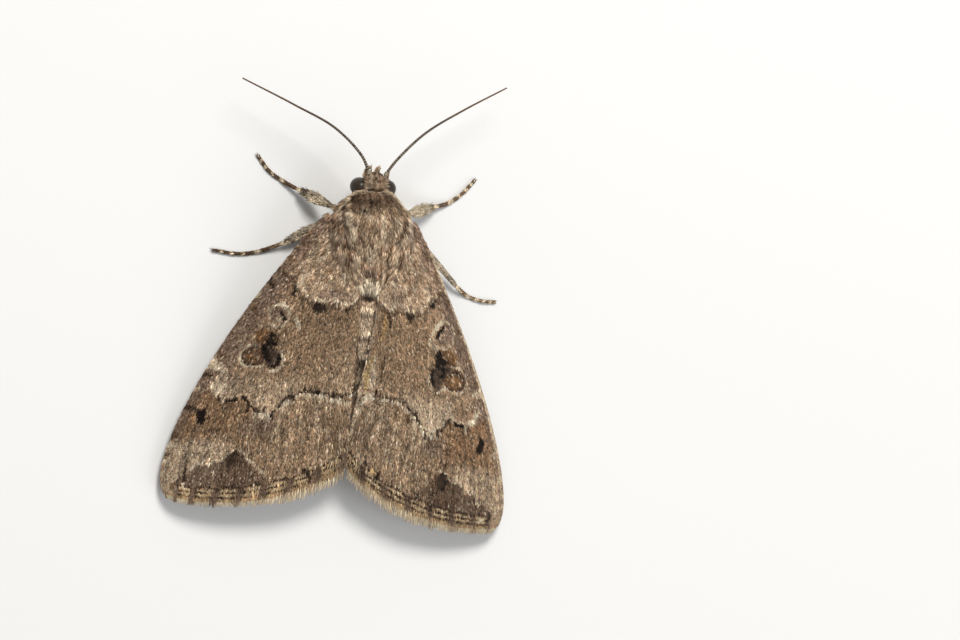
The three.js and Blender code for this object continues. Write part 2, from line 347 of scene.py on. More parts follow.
def bezier(places, u):
    a, b, c, d = (np.array(p, float) for p in places)
    u = np.asarray(u, float)[..., None]
    return (1 - u) ** 3 * a + 3 * (1 - u) ** 2 * u * b + 3 * (1 - u) * u * u * c + u**3 * d


def patch_between(front, inner, base, outer):
    """A patch of the plane between four edges, by shares s along and t across."""
    c00, c10, c01, c11 = (np.array(p, float) for p in (front[0], front[3], inner[0], inner[3]))

    def place(s, t):
        ss, tt = np.asarray(s, float)[..., None], np.asarray(t, float)[..., None]
        sheet = bezier(front, s) * (1 - tt) + bezier(inner, s) * tt
        sheet = sheet + bezier(base, t) * (1 - ss) + bezier(outer, t) * ss
        return sheet - lerp(lerp(c00, c01, tt), lerp(c10, c11, tt), ss)

    return place


WING_PLANS = {
    side: patch_between(
        FRONT_EDGE, inner, (HINGE, HINGE, inner[0], inner[0]), (APEX, *OUTER_PULL, inner[3])
    )
    for side, inner in INNER_MARGIN.items()
}
HIND_SHARES = patch_between(
    ((0.12, 0.72), (0.35, 0.5), (0.66, 0.16), (0.84, 0.26)),
    ((0.14, 0.93), (0.4, 0.95), (0.65, 0.95), (0.88, 0.94)),
    ((0.12, 0.72), (0.13, 0.8), (0.14, 0.9), (0.14, 0.93)),
    ((0.84, 0.26), (0.93, 0.34), (0.95, 0.75), (0.88, 0.94)),
)


def cell_wave(t):
    """1 in the middle between two veins, -1 on a vein."""
    return np.cos(2 * np.pi * np.interp(t, CELLS, np.arange(len(CELLS))))


def vein_wave(s, t):
    return cell_wave(t) * rise(0.3, 0.62, s)


def wing_face(side, drop=COAT_DEPTH, ripple=0.025):
    """The forewing's face at shares s, t, lowered by drop and pleated lightly along its veins."""

    def place(s, t):
        s, t = np.clip(s, 0, 1.02), np.clip(t, -0.02, 1.02)
        plan = WING_PLANS[side](s, t)
        ridge = lerp(*RIDGE_HEIGHT, np.clip(s, 0, 1) ** 1.4)
        costa = lerp(*EDGE_HEIGHT[::-1], np.clip(1 - s, 0, 1) ** 3)
        height = lerp(costa, ridge, 1 - np.clip(1 - t, 0, 1.02) ** 1.8)
        x, y = MIRROR[side] * plan[..., 0], plan[..., 1]
        c, k = math.cos(WING_SWING), math.sin(WING_SWING)
        z = height - drop - ripple + ripple * vein_wave(s, t)
        return np.stack([x * c - y * k, x * k + y * c, z], -1)

    return place


def hind_face(side, drop):
    over = wing_face(side, drop=drop, ripple=0.02)

    def place(a, b):
        shares = HIND_SHARES(a, b)
        return over(shares[..., 0], shares[..., 1])

    return place


# ------------------------------------------------------------------ the wings' markings
WING_REACH = 22.0  # millimetres to a share of s and of t, near the middle of the wing
WING_BREADTH = 11.0
THOUSANDTHS = 1000  # painted shapes are given in thousandths of s and t
LINE_SPREAD = 0.02  # how far a painted line spreads over the scales beside it, in millimetres
VEIN_DRIFT = 0.22  # how far the veins and scales run rearwards across the shares, as t per s
INNER_LINE = {  # rear edge of the shaggy base: (share t, share s)
    "left": ((0.10, 0.138), (0.30, 0.150), (0.36, 0.156), (0.42, 0.168), (0.47, 0.180), (0.53, 0.183),
             (0.60, 0.186), (0.66, 0.180), (0.72, 0.174), (0.77, 0.168), (0.80, 0.182), (0.88, 0.180),
             (0.94, 0.168), (1.0, 0.155)),
    "right": ((0.10, 0.150), (0.28, 0.156), (0.36, 0.160), (0.43, 0.170), (0.50, 0.178), (0.57, 0.176),
              (0.62, 0.168), (0.67, 0.155), (0.72, 0.142), (0.77, 0.146), (0.81, 0.154), (0.88, 0.140),
              (0.94, 0.134), (1.0, 0.125)),
}
OUTER_LINE = {  # the toothed line past the middle: (share t, share s)
    "left": ((0.0, 0.47), (0.18, 0.487), (0.25, 0.50), (0.30, 0.513), (0.36, 0.520), (0.41, 0.506),
             (0.46, 0.516), (0.50, 0.535), (0.54, 0.552), (0.58, 0.562), (0.62, 0.572), (0.64, 0.540),
             (0.67, 0.512), (0.70, 0.512), (0.74, 0.496), (0.78, 0.508), (0.82, 0.522), (0.85, 0.528),
             (0.89, 0.555), (0.92, 0.575), (1.0, 0.60)),
    "right": ((0.0, 0.475), (0.18, 0.49), (0.25, 0.502), (0.30, 0.512), (0.36, 0.518), (0.41, 0.506),
              (0.46, 0.506), (0.50, 0.530), (0.54, 0.553), (0.58, 0.565), (0.61, 0.572), (0.64, 0.530),
              (0.68, 0.496), (0.72, 0.480), (0.76, 0.474), (0.80, 0.484), (0.84, 0.494), (0.88, 0.508),
              (0.92, 0.535), (0.96, 0.558), (1.0, 0.58)),
}

SOOT = {"black": 1.0}
DUSK = {"black": 0.72, "grey": 0.8}
UMBER = {"dark": 0.95, "black": 0.62}
BARK = {"dark": 0.75, "rust": 0.10}
OLIVE = {"dark": 0.40, "ochre": 0.12}
CHESTNUT = {"dark": 0.76, "rust": 0.45}
AMBER = {"rust": 0.62, "ochre": 0.10, "dark": 0.38}
HONEY = {"ochre": 0.70}
ASH = {"grey": 0.85, "dark": 0.10}
MAUVE = {"grey": 0.9, "dark": 0.45}
MIST = {"grey": 0.40, "pale": 0.62}
BUFF = {"pale": 0.42}
CREAM = {"pale": 0.78}

# Painted over one another in this order:
# (paint, half width in mm of a line or None for a filled shape, points)
FRONT_BARS = (
    (CREAM, (0.36, 0.24, 0.20), ((388, -20), (402, 90), (416, 190))),
    (BARK, (0.10, 0.07), ((364, 30), (386, 190))),
    (UMBER, (0.16, 0.05), ((424, -20), (436, 130))),
    (BARK, (0.40, 0.12), ((628, -20), (648, 100))),
    (CREAM, (0.30, 0.10), ((672, -20), (682, 100))),
    (CREAM, (0.16, 0.06), ((750, 0), (757, 90))),
    (BARK, 0.10, ((714, -20), (724, 60))),
    (UMBER, (0.13, 0.06), ((164, -20), (178, 90), (186, 170))),
    (BARK, (0.30, 0.10), ((222, -20), (236, 80), (252, 150))),
    (BARK, (0.30, 0.06), ((300, -20), (312, 80))),
    (BUFF, 0.12, ((205, -20), (210, 50))),
    (BUFF, 0.14, ((470, -20), (476, 60))),
    (BARK, 0.13, ((55, 20), (62, 120))),
    (BARK, 0.13, ((110, 20), (120, 170))),
)
WING_SHAPES = {
    "left": (
        # round mark and claw mark
        (ASH, None, ((240, 300), (226, 330), (226, 380), (240, 425), (256, 440), (270, 425), (272, 370),
                     (262, 320))),
        (BUFF, None, ((243, 395), (254, 365), (264, 390), (262, 425), (252, 430))),
        ({"pale": 0.85}, (0.03, 0.05, 0.08, 0.09, 0.08, 0.05, 0.04, 0.03, 0.03),
         ((262, 318), (239, 285), (223, 306), (219, 365), (229, 426), (248, 459), (273, 452), (281, 406),
          (272, 336))),
        (SOOT, (0.04, 0.09, 0.10), ((238, 362), (243, 394), (256, 430))),
        (CREAM, (0.06, 0.14, 0.10, 0.06), ((244, 500), (252, 520), (261, 543), (274, 562))),
        (OLIVE, 0.07, ((258, 511), (269, 524))),
        # kidney mark
        (AMBER, None, ((299, 289), (291, 347), (303, 392), (324, 390), (332, 355), (329, 312), (314, 279))),
        (BUFF, 0.09, ((312, 285), (322, 294))),
        (CHESTNUT, None, ((293, 378), (312, 357), (332, 352), (339, 385), (320, 405), (300, 405))),
        (CHESTNUT, None, ((378, 283), (354, 288), (341, 345), (346, 395), (364, 430), (386, 458), (397, 430),
                          (401, 381), (394, 318))),
        (UMBER, 0.035, ((346, 370), (347, 330), (354, 294), (370, 280), (386, 296), (397, 345), (397, 400),
                        (388, 448))),
        (BARK, None, ((366, 335), (378, 320), (390, 350), (391, 400), (382, 432), (370, 415), (363, 375))),
        (AMBER, 0.11, ((376, 340), (381, 375), (377, 405))),
        (SOOT, None, ((291, 398), (299, 425), (313, 465), (330, 482), (340, 470), (338, 400), (326, 388),
                      (314, 398), (302, 388))),
        (CHESTNUT, 0.10, ((310, 440), (318, 455))),
        (DUSK, None, ((338, 386), (338, 450), (349, 510), (374, 545), (400, 552), (408, 527), (400, 490),
                      (384, 455), (362, 415))),
        (SOOT, (0.16, 0.17, 0.14, 0.10), ((340, 395), (352, 420), (370, 452), (384, 478))),
        (SOOT, (0.05, 0.10, 0.12, 0.08), ((352, 505), (374, 535), (392, 540), (401, 515))),
        (BUFF, 0.035, ((372, 505), (379, 518))),
        (MAUVE, 0.07, ((348, 298), (342, 335), (336, 375))),
        (CREAM, 0.045, ((340, 338), (345, 352))),
        ({"grey": 0.30, "pale": 0.85}, (0.03, 0.06, 0.07, 0.08, 0.06, 0.03),
         ((348, 522), (374, 558), (396, 566), (412, 552), (418, 532), (410, 495))),
        ({"grey": 0.15, "pale": 0.72}, (0.04, 0.06, 0.07, 0.07, 0.06, 0.04),
         ((345, 290), (372, 262), (396, 300), (406, 350), (405, 400), (402, 457))),
        # cream patch and black dash of the front edge
        ({"pale": 0.38, "grey": 0.20}, None, ((415, 205), (442, 178), (470, 163), (486, 198), (500, 240),
                                              (503, 270), (522, 305), (530, 330), (508, 330), (498, 310),
                                              (468, 298), (440, 272), (420, 250))),
        ({"pale": 0.68}, (0.10, 0.13, 0.15), ((462, 180), (484, 225), (500, 272))),
        ({"grey": 0.10, "pale": 0.60}, (0.12, 0.16, 0.14), ((425, 215), (450, 232), (486, 262))),
        (ASH, 0.10, ((433, 235), (457, 240))),
        ({"dark": 0.85, "black": 0.55, "grey": 0.30}, (0.17, 0.14, 0.09),
         ((527, -20), (540, 90), (556, 190))),
        (AMBER, 0.13, ((573, 165), (586, 183))),
        (SOOT, None, ((552, 170), (561, 165), (577, 190), (592, 207), (603, 230), (607, 245), (600, 262),
                      (585, 268), (568, 250), (552, 238), (545, 228), (551, 200))),
        (ASH, (0.08, 0.03), ((606, 238), (628, 250))),
        # teeth of the outer line
        (UMBER, 0.04, ((500, 273), (512, 289), (523, 305))),
        (SOOT, None, ((508, 335), (520, 328), (530, 347), (522, 360), (519, 370), (526, 387), (518, 410),
                      (508, 405), (506, 385), (513, 370), (514, 352))),
        (UMBER, (0.08, 0.10, 0.07, 0.03, 0.03), ((500, 426), (507, 440), (514, 462), (524, 479), (560, 492))),
        (MIST, 0.17, ((567, 575), (579, 596))),
        (BUFF, 0.11, ((558, 640), (534, 705), (514, 738), (520, 775), (534, 802))),
        (UMBER, 0.050, ((543, 523), (557, 528))),
        (UMBER, 0.045, ((551, 543), (573, 551))),
        (UMBER, 0.045, ((544, 572), (561, 576))),
        (SOOT, 0.075, ((562, 628), (574, 621), (585, 630))),
        (MAUVE, 0.045, ((585, 634), (620, 643), (650, 656))),
        (UMBER, 0.050, ((553, 648), (530, 653), (514, 663), (508, 673))),
        (CREAM, 0.11, ((531, 676), (543, 686))),
        (UMBER, 0.085, ((513, 701), (530, 708))),
        (UMBER, 0.050, ((491, 751), (504, 756))),
        (UMBER, 0.055, ((495, 777), (509, 788))),
        (SOOT, (0.06, 0.11, 0.05), ((509, 817), (522, 826), (535, 835))),
        (MIST, 0.12, ((535, 844), (557, 856))),
        (UMBER, (0.04, 0.08, 0.05), ((546, 902), (566, 910), (584, 919))),
        (UMBER, 0.06, ((569, 930), (577, 941))),
        (CREAM, (0.10, 0.15, 0.10, 0.05), ((590, 918), (606, 943), (625, 966), (645, 990))),
        # the margin
        (UMBER, (0.02, 0.07, 0.10, 0.08), ((745, 254), (800, 265), (835, 268), (862, 276))),
        (OLIVE, (0.10, 0.26, 0.22), ((862, 225), (880, 195), (915, 185))),
        (CREAM, 0.11, ((868, 273), (880, 277))),
        (UMBER, (0.03, 0.10, 0.05), ((860, 852), (875, 862), (890, 872))),
        (UMBER, (0.05, 0.12, 0.04), ((895, 876), (920, 884), (942, 892))),
    ),
    "right": (
        # round mark
        (ASH, None, ((230, 240), (246, 225), (264, 270), (272, 350), (264, 415), (250, 425), (236, 385),
                     (226, 310))),
        ({"pale": 0.60}, (0.03, 0.05, 0.06, 0.06, 0.05, 0.05),
         ((224, 240), (240, 200), (260, 228), (276, 290), (284, 370), (274, 430))),
        (BUFF, (0.10, 0.16, 0.12), ((240, 462), (262, 480), (282, 440))),
        (SOOT, (0.03, 0.06, 0.11, 0.10), ((226, 275), (232, 330), (240, 375), (250, 405))),
        ({"pale": 0.78}, (0.04, 0.06, 0.08, 0.09, 0.08, 0.05),
         ((217, 235), (215, 290), (219, 350), (228, 400), (241, 434), (258, 446))),
        # kidney mark
        (AMBER, None, ((285, 388), (288, 300), (311, 268), (328, 311), (322, 362), (303, 385))),
        (CHESTNUT, (0.16, 0.14, 0.10), ((292, 385), (308, 372), (322, 350))),
        (SOOT, None, ((288, 442), (284, 412), (296, 392), (306, 405), (316, 372), (326, 350), (331, 412),
                      (322, 468), (301, 463))),
        (CHESTNUT, (0.16, 0.20, 0.20, 0.12), ((332, 375), (336, 315), (352, 268), (372, 258))),
        (DUSK, None, ((337, 512), (324, 465), (328, 388), (343, 352), (362, 393), (380, 458), (401, 484),
                      (406, 514), (387, 538), (360, 534))),
        (CHESTNUT, None, ((352, 400), (342, 340), (350, 275), (372, 250), (392, 270), (403, 325), (402, 393),
                          (390, 440), (376, 445), (362, 425))),
        (AMBER, None, ((362, 412), (356, 365), (364, 312), (378, 298), (391, 315), (396, 355), (390, 402),
                       (378, 428))),
        (SOOT, (0.10, 0.13, 0.12, 0.06), ((326, 470), (340, 420), (352, 430), (366, 462))),
        (SOOT, (0.08, 0.12, 0.14), ((338, 500), (360, 522), (382, 522))),
        (UMBER, 0.045, ((348, 350), (352, 295), (366, 268), (382, 272), (394, 300), (402, 350), (398, 405),
                        (388, 440))),
        (CREAM, 0.05, ((354, 345), (356, 356))),
        (MIST, (0.02, 0.04, 0.05, 0.05, 0.06, 0.05, 0.03, 0.05, 0.05, 0.06),
         ((334, 355), (337, 290), (350, 245), (372, 232), (394, 255), (408, 318), (407, 395), (396, 440),
          (402, 470), (412, 500))),
        (MIST, (0.03, 0.05, 0.06, 0.05), ((350, 540), (366, 552), (388, 554), (412, 522))),
        # cream patch and black dash of the front edge
        ({"grey": 0.15}, None, ((415, 170), (445, 180), (472, 175), (482, 200), (492, 225), (506, 258),
                                (508, 285), (518, 315), (498, 360), (495, 400), (468, 420), (440, 400),
                                (420, 360))),
        (CREAM, 0.16, ((455, 195), (472, 220), (490, 255), (500, 290))),
        (ASH, 0.12, ((430, 150), (437, 200))),
        (ASH, 0.08, ((458, 205), (463, 215))),
        (MAUVE, (0.14, 0.12, 0.10), ((527, -20), (540, 100), (557, 210))),
        (BUFF, 0.20, ((590, 100), (612, 160))),
        (SOOT, None, ((549, 215), (561, 207), (577, 217), (592, 237), (604, 255), (608, 278), (601, 293),
                      (585, 283), (568, 268), (556, 252), (546, 238))),
        # teeth of the outer line
        (UMBER, 0.045, ((513, 315), (525, 325), (541, 333))),
        (CREAM, 0.09, ((517, 345), (537, 352))),
        (CREAM, 0.12, ((499, 310), (507, 318))),
        (SOOT, None, ((508, 352), (519, 348), (521, 365), (517, 383), (522, 410), (514, 425), (503, 425),
                      (498, 410), (507, 393), (505, 372))),
        (UMBER, (0.06, 0.08, 0.04), ((494, 446), (505, 461), (517, 479))),
        (MIST, 0.17, ((557, 568), (572, 596))),
        (BUFF, 0.11, ((545, 655), (512, 692), (502, 725), (492, 755), (508, 792))),
        (UMBER, 0.045, ((527, 501), (546, 514))),
        (UMBER, 0.055, ((543, 531), (558, 541), (573, 535))),
        (UMBER, 0.055, ((556, 618), (573, 610), (594, 615))),
        (UMBER, 0.045, ((491, 652), (515, 653), (534, 643))),
        (UMBER, 0.050, ((482, 700), (498, 693))),
        (MAUVE, 0.07, ((460, 712), (478, 716), (488, 727))),
        (MAUVE, (0.08, 0.12, 0.13, 0.07), ((462, 735), (470, 760), (483, 787), (497, 804))),
        (CREAM, 0.07, ((482, 742), (490, 753))),
        (CHESTNUT, 0.14, ((522, 705), (548, 708))),
        (OLIVE, 0.17, ((503, 772), (530, 760), (550, 762))),
        (MIST, 0.10, ((501, 820), (520, 846))),
        (SOOT, (0.05, 0.08, 0.04), ((487, 884), (502, 888), (517, 893))),
        (CREAM, (0.10, 0.13, 0.12, 0.07, 0.04), ((518, 908), (535, 918), (556, 933), (600, 952), (680, 968))),
        ({"ochre": 0.90, "pale": 0.10}, (0.08, 0.20, 0.20, 0.12),
         ((365, 955), (419, 957), (471, 958), (517, 950))),
        ({"rust": 0.30, "pale": 0.55}, (0.10, 0.20, 0.22, 0.12),
         ((350, 935), (410, 925), (460, 920), (500, 918))),
        (BARK, (0.03, 0.10, 0.10, 0.05), ((320, 861), (364, 870), (403, 871), (439, 871))),
        ({"rust": 0.28, "ochre": 0.40}, (0.12, 0.22, 0.20, 0.10),
         ((160, 900), (191, 880), (226, 888), (266, 915))),
        (UMBER, (0.03, 0.08, 0.13, 0.04), ((152, 858), (173, 828), (194, 822), (212, 828))),
        # the margin
        (UMBER, (0.05, 0.14, 0.12), ((868, 228), (893, 235), (915, 262))),
        (CREAM, 0.14, ((905, 300), (912, 315))),
        (UMBER, 0.09, ((848, 838), (862, 852), (892, 858))),
        (HONEY, 0.12, ((866, 872), (880, 876))),
        (UMBER, 0.06, ((845, 905), (862, 908))),
    ),
}
CLOUD = {
    "left": ((845, 230), (825, 255), (812, 275), (806, 300), (782, 318), (768, 335), (776, 360), (772, 385),
             (778, 400), (762, 412), (755, 440), (745, 465), (734, 480), (718, 497), (704, 513), (718, 535),
             (734, 562), (757, 582), (772, 605), (792, 632), (816, 655), (845, 690), (875, 702), (905, 705),
             (905, 235), (870, 215)),
    "right": ((858, 240), (840, 265), (820, 295), (814, 306), (834, 312), (842, 332), (808, 338), (790, 344),
              (774, 355), (786, 375), (780, 397), (784, 414), (765, 421), (750, 436), (734, 446), (742, 457),
              (755, 475), (745, 495), (730, 505), (714, 515), (706, 530), (717, 545), (735, 563), (760, 592),
              (790, 612), (812, 635), (832, 655), (852, 683), (876, 702), (905, 722), (905, 235), (880, 222)),
}
TOOTH = {
    "left": ((703, 513), (720, 498), (740, 483), (765, 490), (788, 510), (782, 530), (752, 542), (722, 534)),
    "right": ((704, 528), (718, 508), (738, 494), (762, 500), (795, 525), (806, 545), (780, 556), (745, 553),
              (720, 543)),
}
# Black blotches of painted shadow behind the shaggy base's hem: points
HOLLOWS = {
    "left": ((184, 545), (196, 570), (207, 592), (220, 608), (216, 630), (208, 660), (197, 690), (184, 670),
             (176, 640), (168, 620), (178, 600), (180, 572)),
    "right": ((176, 545), (186, 556), (187, 574), (190, 590), (197, 606), (200, 626), (193, 640), (184, 650),
              (172, 650), (164, 640), (162, 622), (170, 606), (174, 575)),
}
CLOUD_RIM = slice(3, 22)  # the points of the cloud that have a pale edge
BASE_FLECKS = ((115, 562), (83, 548), (92, 515), (62, 400), (70, 390), (18, 410))
CRESCENT = {  # dark spot of painted shadow behind the shaggy base: (half widths, points)
    "left": ((0.10, 0.20, 0.12), ((168, 352), (175, 370), (184, 385))),
    "right": ((0.07, 0.16, 0.08), ((165, 305), (171, 340), (172, 380))),
}
# A fainter spot of painted shadow behind the hem, towards the inner margin: where its short line starts
HIND_SPOT = {"left": (192, 862), "right": (166, 830)}
# Dark lines of the margin: (share s, bend between veins, cover, how open it is between veins)
MARGIN_LINES = ((0.884, 0.006, 1.0, 0.0), (0.911, 0.001, 1.0, 0.15), (0.938, -0.002, 0.9, 0.60))


def mark_share(side, s, t):
    """The share across the wing that its markings go by: even, though the inner margins curve differently."""
    if side == "left":
        wider = 0.05 * np.clip(s - 0.25, 0, 1)
    else:
        wider = -0.023 * np.sin(np.pi * np.clip((s - 0.15) / 0.85, 0, 1))
    return t * (1 + wider)


def painted(s, t, half_width, points, soft=0.05, ragged=0.09):
    """How much of each place a painted line covers, or a filled shape where half_width is None."""
    x, y = s * WING_REACH, t * WING_BREADTH
    places = np.array(points) / THOUSANDTHS * (WING_REACH, WING_BREADTH)
    filled = half_width is None
    ends = np.roll(places, -1, axis=0) if filled else places[1:]
    given = np.atleast_1d(0.0 if filled else half_width) + (0.0 if filled else LINE_SPREAD)
    widths = np.interp(np.linspace(0, 1, len(ends) + 1), np.linspace(0, 1, len(given)), given)
    depth = np.full(len(x), -99.0)
    within = np.zeros(len(x), bool)
    for start, end, from_width, to_width in zip(places, ends, widths, widths[1:]):
        k, gap = to_stretch(x, y, start, end)
        depth = np.maximum(depth, lerp(from_width, to_width, k) - gap)
        (ax, ay), (bx, by) = start, end
        if filled and ay != by:
            within ^= ((ay > y) != (by > y)) & (x < (bx - ax) * (y - ay) / (by - ay) + ax)
    depth = np.where(within, -depth, depth)
    return rise(-soft, soft, depth + ragged * (drift(s * 170, t * 90, 19) - 0.5))


def wing_places(side, s, edge_t):
    """Places on a forewing: their shares, the random fields over them and the zones that they lie in."""
    t = mark_share(side, s, edge_t)
    across = t - VEIN_DRIFT * (s - 0.5)
    fine = drift(s * 90, t * 50, 12)
    jag = (fine - 0.5) * 0.012
    past_hem = s - (along_line(INNER_LINE[side], t) + jag)
    past_line = s - (along_line(OUTER_LINE[side], t) + jag * 0.8)
    base = 1 - rise(-0.003, 0.003, past_hem)
    past = rise(-0.003, 0.003, past_line)
    return SimpleNamespace(
        side=side, left=side == "left", s=s, t=t, edge_t=edge_t, across=across,
        cloud=drift(s * 22, t * 12, 11), fine=fine, crumb=drift(s * 60, across * 55, 20),
        streak=drift(s * 8, across * 60, 13), thread=drift(s * 18, across * 130, 14),
        past_hem=past_hem, past_line=past_line, base=base, middle=(1 - base) * (1 - past),
        field=past * (1 - rise(0.93, 0.96, s)), costal=1 - rise(0.16, 0.36, t),
    )


def wing_tone(at):
    """How light the wing is from place to place."""
    streaky = 0.25 + 0.75 * rise(0.40, 0.58, at.s)
    tone = 1 + 0.26 * (at.cloud - 0.5) + 0.40 * (at.fine - 0.5) + 0.35 * (at.crumb - 0.5)
    tone += (0.50 * (at.streak - 0.5) + 0.50 * (at.thread - 0.5)) * streaky
    tone += 0.05 * vein_wave(at.s, at.t)
    # The left wing's front edge is painted lighter in the middle field, against the shade that falls on it
    # there.
    tone *= 1 + (0.20 if at.left else 0.0) * at.middle * at.costal
    tone *= 1 - 0.10 * at.middle * rise(0.45, 0.75, at.t) * (1 - rise(0.35, 0.50, at.s))
    return np.clip(tone, 0.4, 1.8)


def mark_base(marks, at):
    """The shaggy base: tan with dark flecks, greyer towards the front edge, with a pale ragged hem and
    painted shadow behind it.
    """
    s, t, base = at.s, at.t, at.base
    clump = drift(s * 70, t * 30, 15)
    marks["pale"] += base * (0.10 + 0.32 * rise(0.45, 0.85, clump)) * rise(0.20, 0.36, t)
    marks["dark"] += base * (0.12 + 0.62 * rise(0.56, 0.78, drift(s * 62, t * 26, 16)))
    marks["dark"] += base * 0.35 * rise(0.5, 0.75, at.cloud) * (1 - rise(0.02, 0.10, s))
    marks["grey"] += base * (at.costal * 0.75 + 0.18)
    ash = base * near(at.past_hem + 0.032, 0.014, 0.016) * between(t, 0.60, 0.93, 0.03)
    marks["grey"] += 0.6 * ash * (0.5 + at.crumb)
    marks["pale"] *= 1 - 0.5 * ash
    locks = rise(0.30, 0.62, drift(s * 50, at.across * 75, 17))
    hem = near(at.past_hem + 0.007, 0.005, 0.009) * rise(0.30, 0.40, t) * locks
    marks["pale"] += hem * (0.18 + 0.35 * at.fine)
    marks["grey"] += hem * 0.30
    marks["dark"] *= 1 - 0.5 * hem
    # Painted shadow of the raised hem on the scales just behind it.
    marks["dark"] += 0.6 * near(at.past_hem - 0.006, 0.005, 0.008) * (1 - base)


def mark_middle(marks, at):
    """The middle field: grey-brown in front, warm brown at the back, paler before the outer line."""
    s, t, middle = at.s, at.t, at.middle
    marks["grey"] += middle * (0.62 * at.costal + 0.22 * (1 - rise(0.3, 0.5, t)))
    marks["dark"] += middle * at.costal * (0.12 + 0.35 * rise(0.5, 0.75, at.crumb))
    marks["dark"] += middle * 0.20 * rise(0.55, 0.85, at.fine) * (1 - rise(0.40, 0.47, s))
    marks["pale"] += middle * rise(0.40, 0.48, s) * between(t, 0.28, 0.72, 0.08) * (0.20 if at.left else 0.32)
    marks["pale"] += middle * rise(0.60, 0.95, t) * 0.08 * rise(0.3, 0.5, s)


def mark_outer_field(marks, at):
    """The field past the outer line: warm behind it, streaked to the inner margin, pale at the corner."""
    s, t, field = at.s, at.t, at.field
    warm = field * (1 - rise(0.62, 0.72, s)) * between(t, 0.10, 0.50, 0.06)
    marks["rust"] += warm * (0.14 if at.left else 0.22) * (0.5 + at.cloud)
    marks["dark"] += warm * (0.20 + 0.28 * rise(0.5, 0.8, at.crumb))
    by_edge = field * (1 - rise(0.08, 0.18, t)) * (1 - rise(0.64, 0.68, s))
    marks["grey"] += 0.5 * by_edge
    marks["dark"] += 0.25 * by_edge
    marks["dark"] += field * 0.50 * rise(0.55, 0.85, at.streak) * rise(0.45, 0.6, t)
    marks["pale"] += field * 0.26 * rise(0.58, 0.88, at.thread) * rise(0.5, 0.66, t)
    marks["pale"] += field * (0.02 if at.left else 0.06) * rise(0.55, 0.68, t)
    zone = field * between(s, 0.575, 0.65, 0.02) * between(t, 0.50, 0.63, 0.03)
    marks["grey"] += 0.6 * zone
    marks["dark"] += 0.45 * zone * rise(0.4, 0.7, at.crumb)
    corner = field * rise(0.64, 0.69, s) * (1 - rise(0.40, 0.54, t))
    marks["pale"] += corner * (0.28 if at.left else 0.20) * (0.6 + 0.8 * at.crumb)
    marks["rust"] *= 1 - 0.6 * corner


def mark_cloud(marks, at):
    """The dark cloud before the margin, its pale edge and its black tooth."""
    s, t = at.s, at.t
    cloud, tooth = CLOUD[at.side], TOOTH[at.side]
    inside = painted(s, t, None, cloud, soft=0.07, ragged=0.16)
    edge = painted(s + 0.007, t, 0.06, cloud[CLOUD_RIM], ragged=0.2) * (0.35 + 0.65 * at.fine)
    for name, strength in (("grey", 0.62), ("dark", 0.66 if at.left else 0.80)):
        marks[name] += strength * inside * (0.6 + 0.8 * at.crumb) * (1 - 0.35 * rise(0.58, 0.68, t))
    marks["pale"] *= 1 - 0.8 * inside
    marks["rust"] *= 1 - 0.8 * inside
    paint_over(marks, CREAM, edge * (1 - inside))
    tooth_cover = painted(s, t, None, tooth, soft=0.14, ragged=0.22) * (0.75 + 0.4 * at.fine)
    paint_over(marks, UMBER if at.left else SOOT, tooth_cover)
    tip = painted(s, t, (0.04, 0.14, 0.10), ((655, 503), (677, 507), (697, 520)))
    paint_over(marks, OLIVE if at.left else BARK, tip)


def mark_outer_line(marks, at):
    """The toothed outer line: a fine dark thread with pale crescents outside it."""
    t = at.t
    scallop = np.abs(np.sin(np.pi * (at.across - 0.02) / 0.047))
    off_line = at.past_line - 0.004 * scallop
    marks["dark"] += 0.95 * near(off_line, 0.0032, 0.003) * rise(0.40, 0.50, t)
    marks["black"] += 0.75 * near(off_line, 0.0026, 0.003) * rise(0.40, 0.50, t) * scallop
    crescents = near(off_line - 0.012, 0.006, 0.006) * rise(0.50, 0.56, t) * scallop
    marks["pale"] += crescents * rise(0.25, 0.6, at.thread)


def mark_hem_spots(marks, at):
    """Flecks of the base, and black marks of painted shadow behind its hem."""
    s, t = at.s, at.t
    for a, b in BASE_FLECKS:
        paint_over(marks, CHESTNUT, 0.9 * painted(s, t, 0.10, ((a, b), (a + 7, b + 6))))
    # Painted shadow behind the raised hem: a blotch, a crescent and a fainter spot.
    hollow = painted(s, t, None, HOLLOWS[at.side], soft=0.10, ragged=0.22)
    paint_over(marks, SOOT, 0.92 * hollow * rise(-0.002, 0.004, at.past_hem))
    half_widths, crescent = CRESCENT[at.side]
    paint_over(marks, SOOT, painted(s, t, half_widths, crescent, soft=0.10))
    paint_over(marks, CREAM, 0.7 * painted(s, t, 0.06, [(a - 10, b + 2) for a, b in crescent]))
    a, b = HIND_SPOT[at.side]
    paint_over(marks, UMBER, 0.8 * (1 - at.base) * painted(s, t, 0.16, ((a, b), (a + 6, b + 20))))
    if not at.left:
        paint_over(marks, AMBER, 0.6 * (1 - at.base) * painted(s, t, 0.25, ((165, 880), (200, 895))))


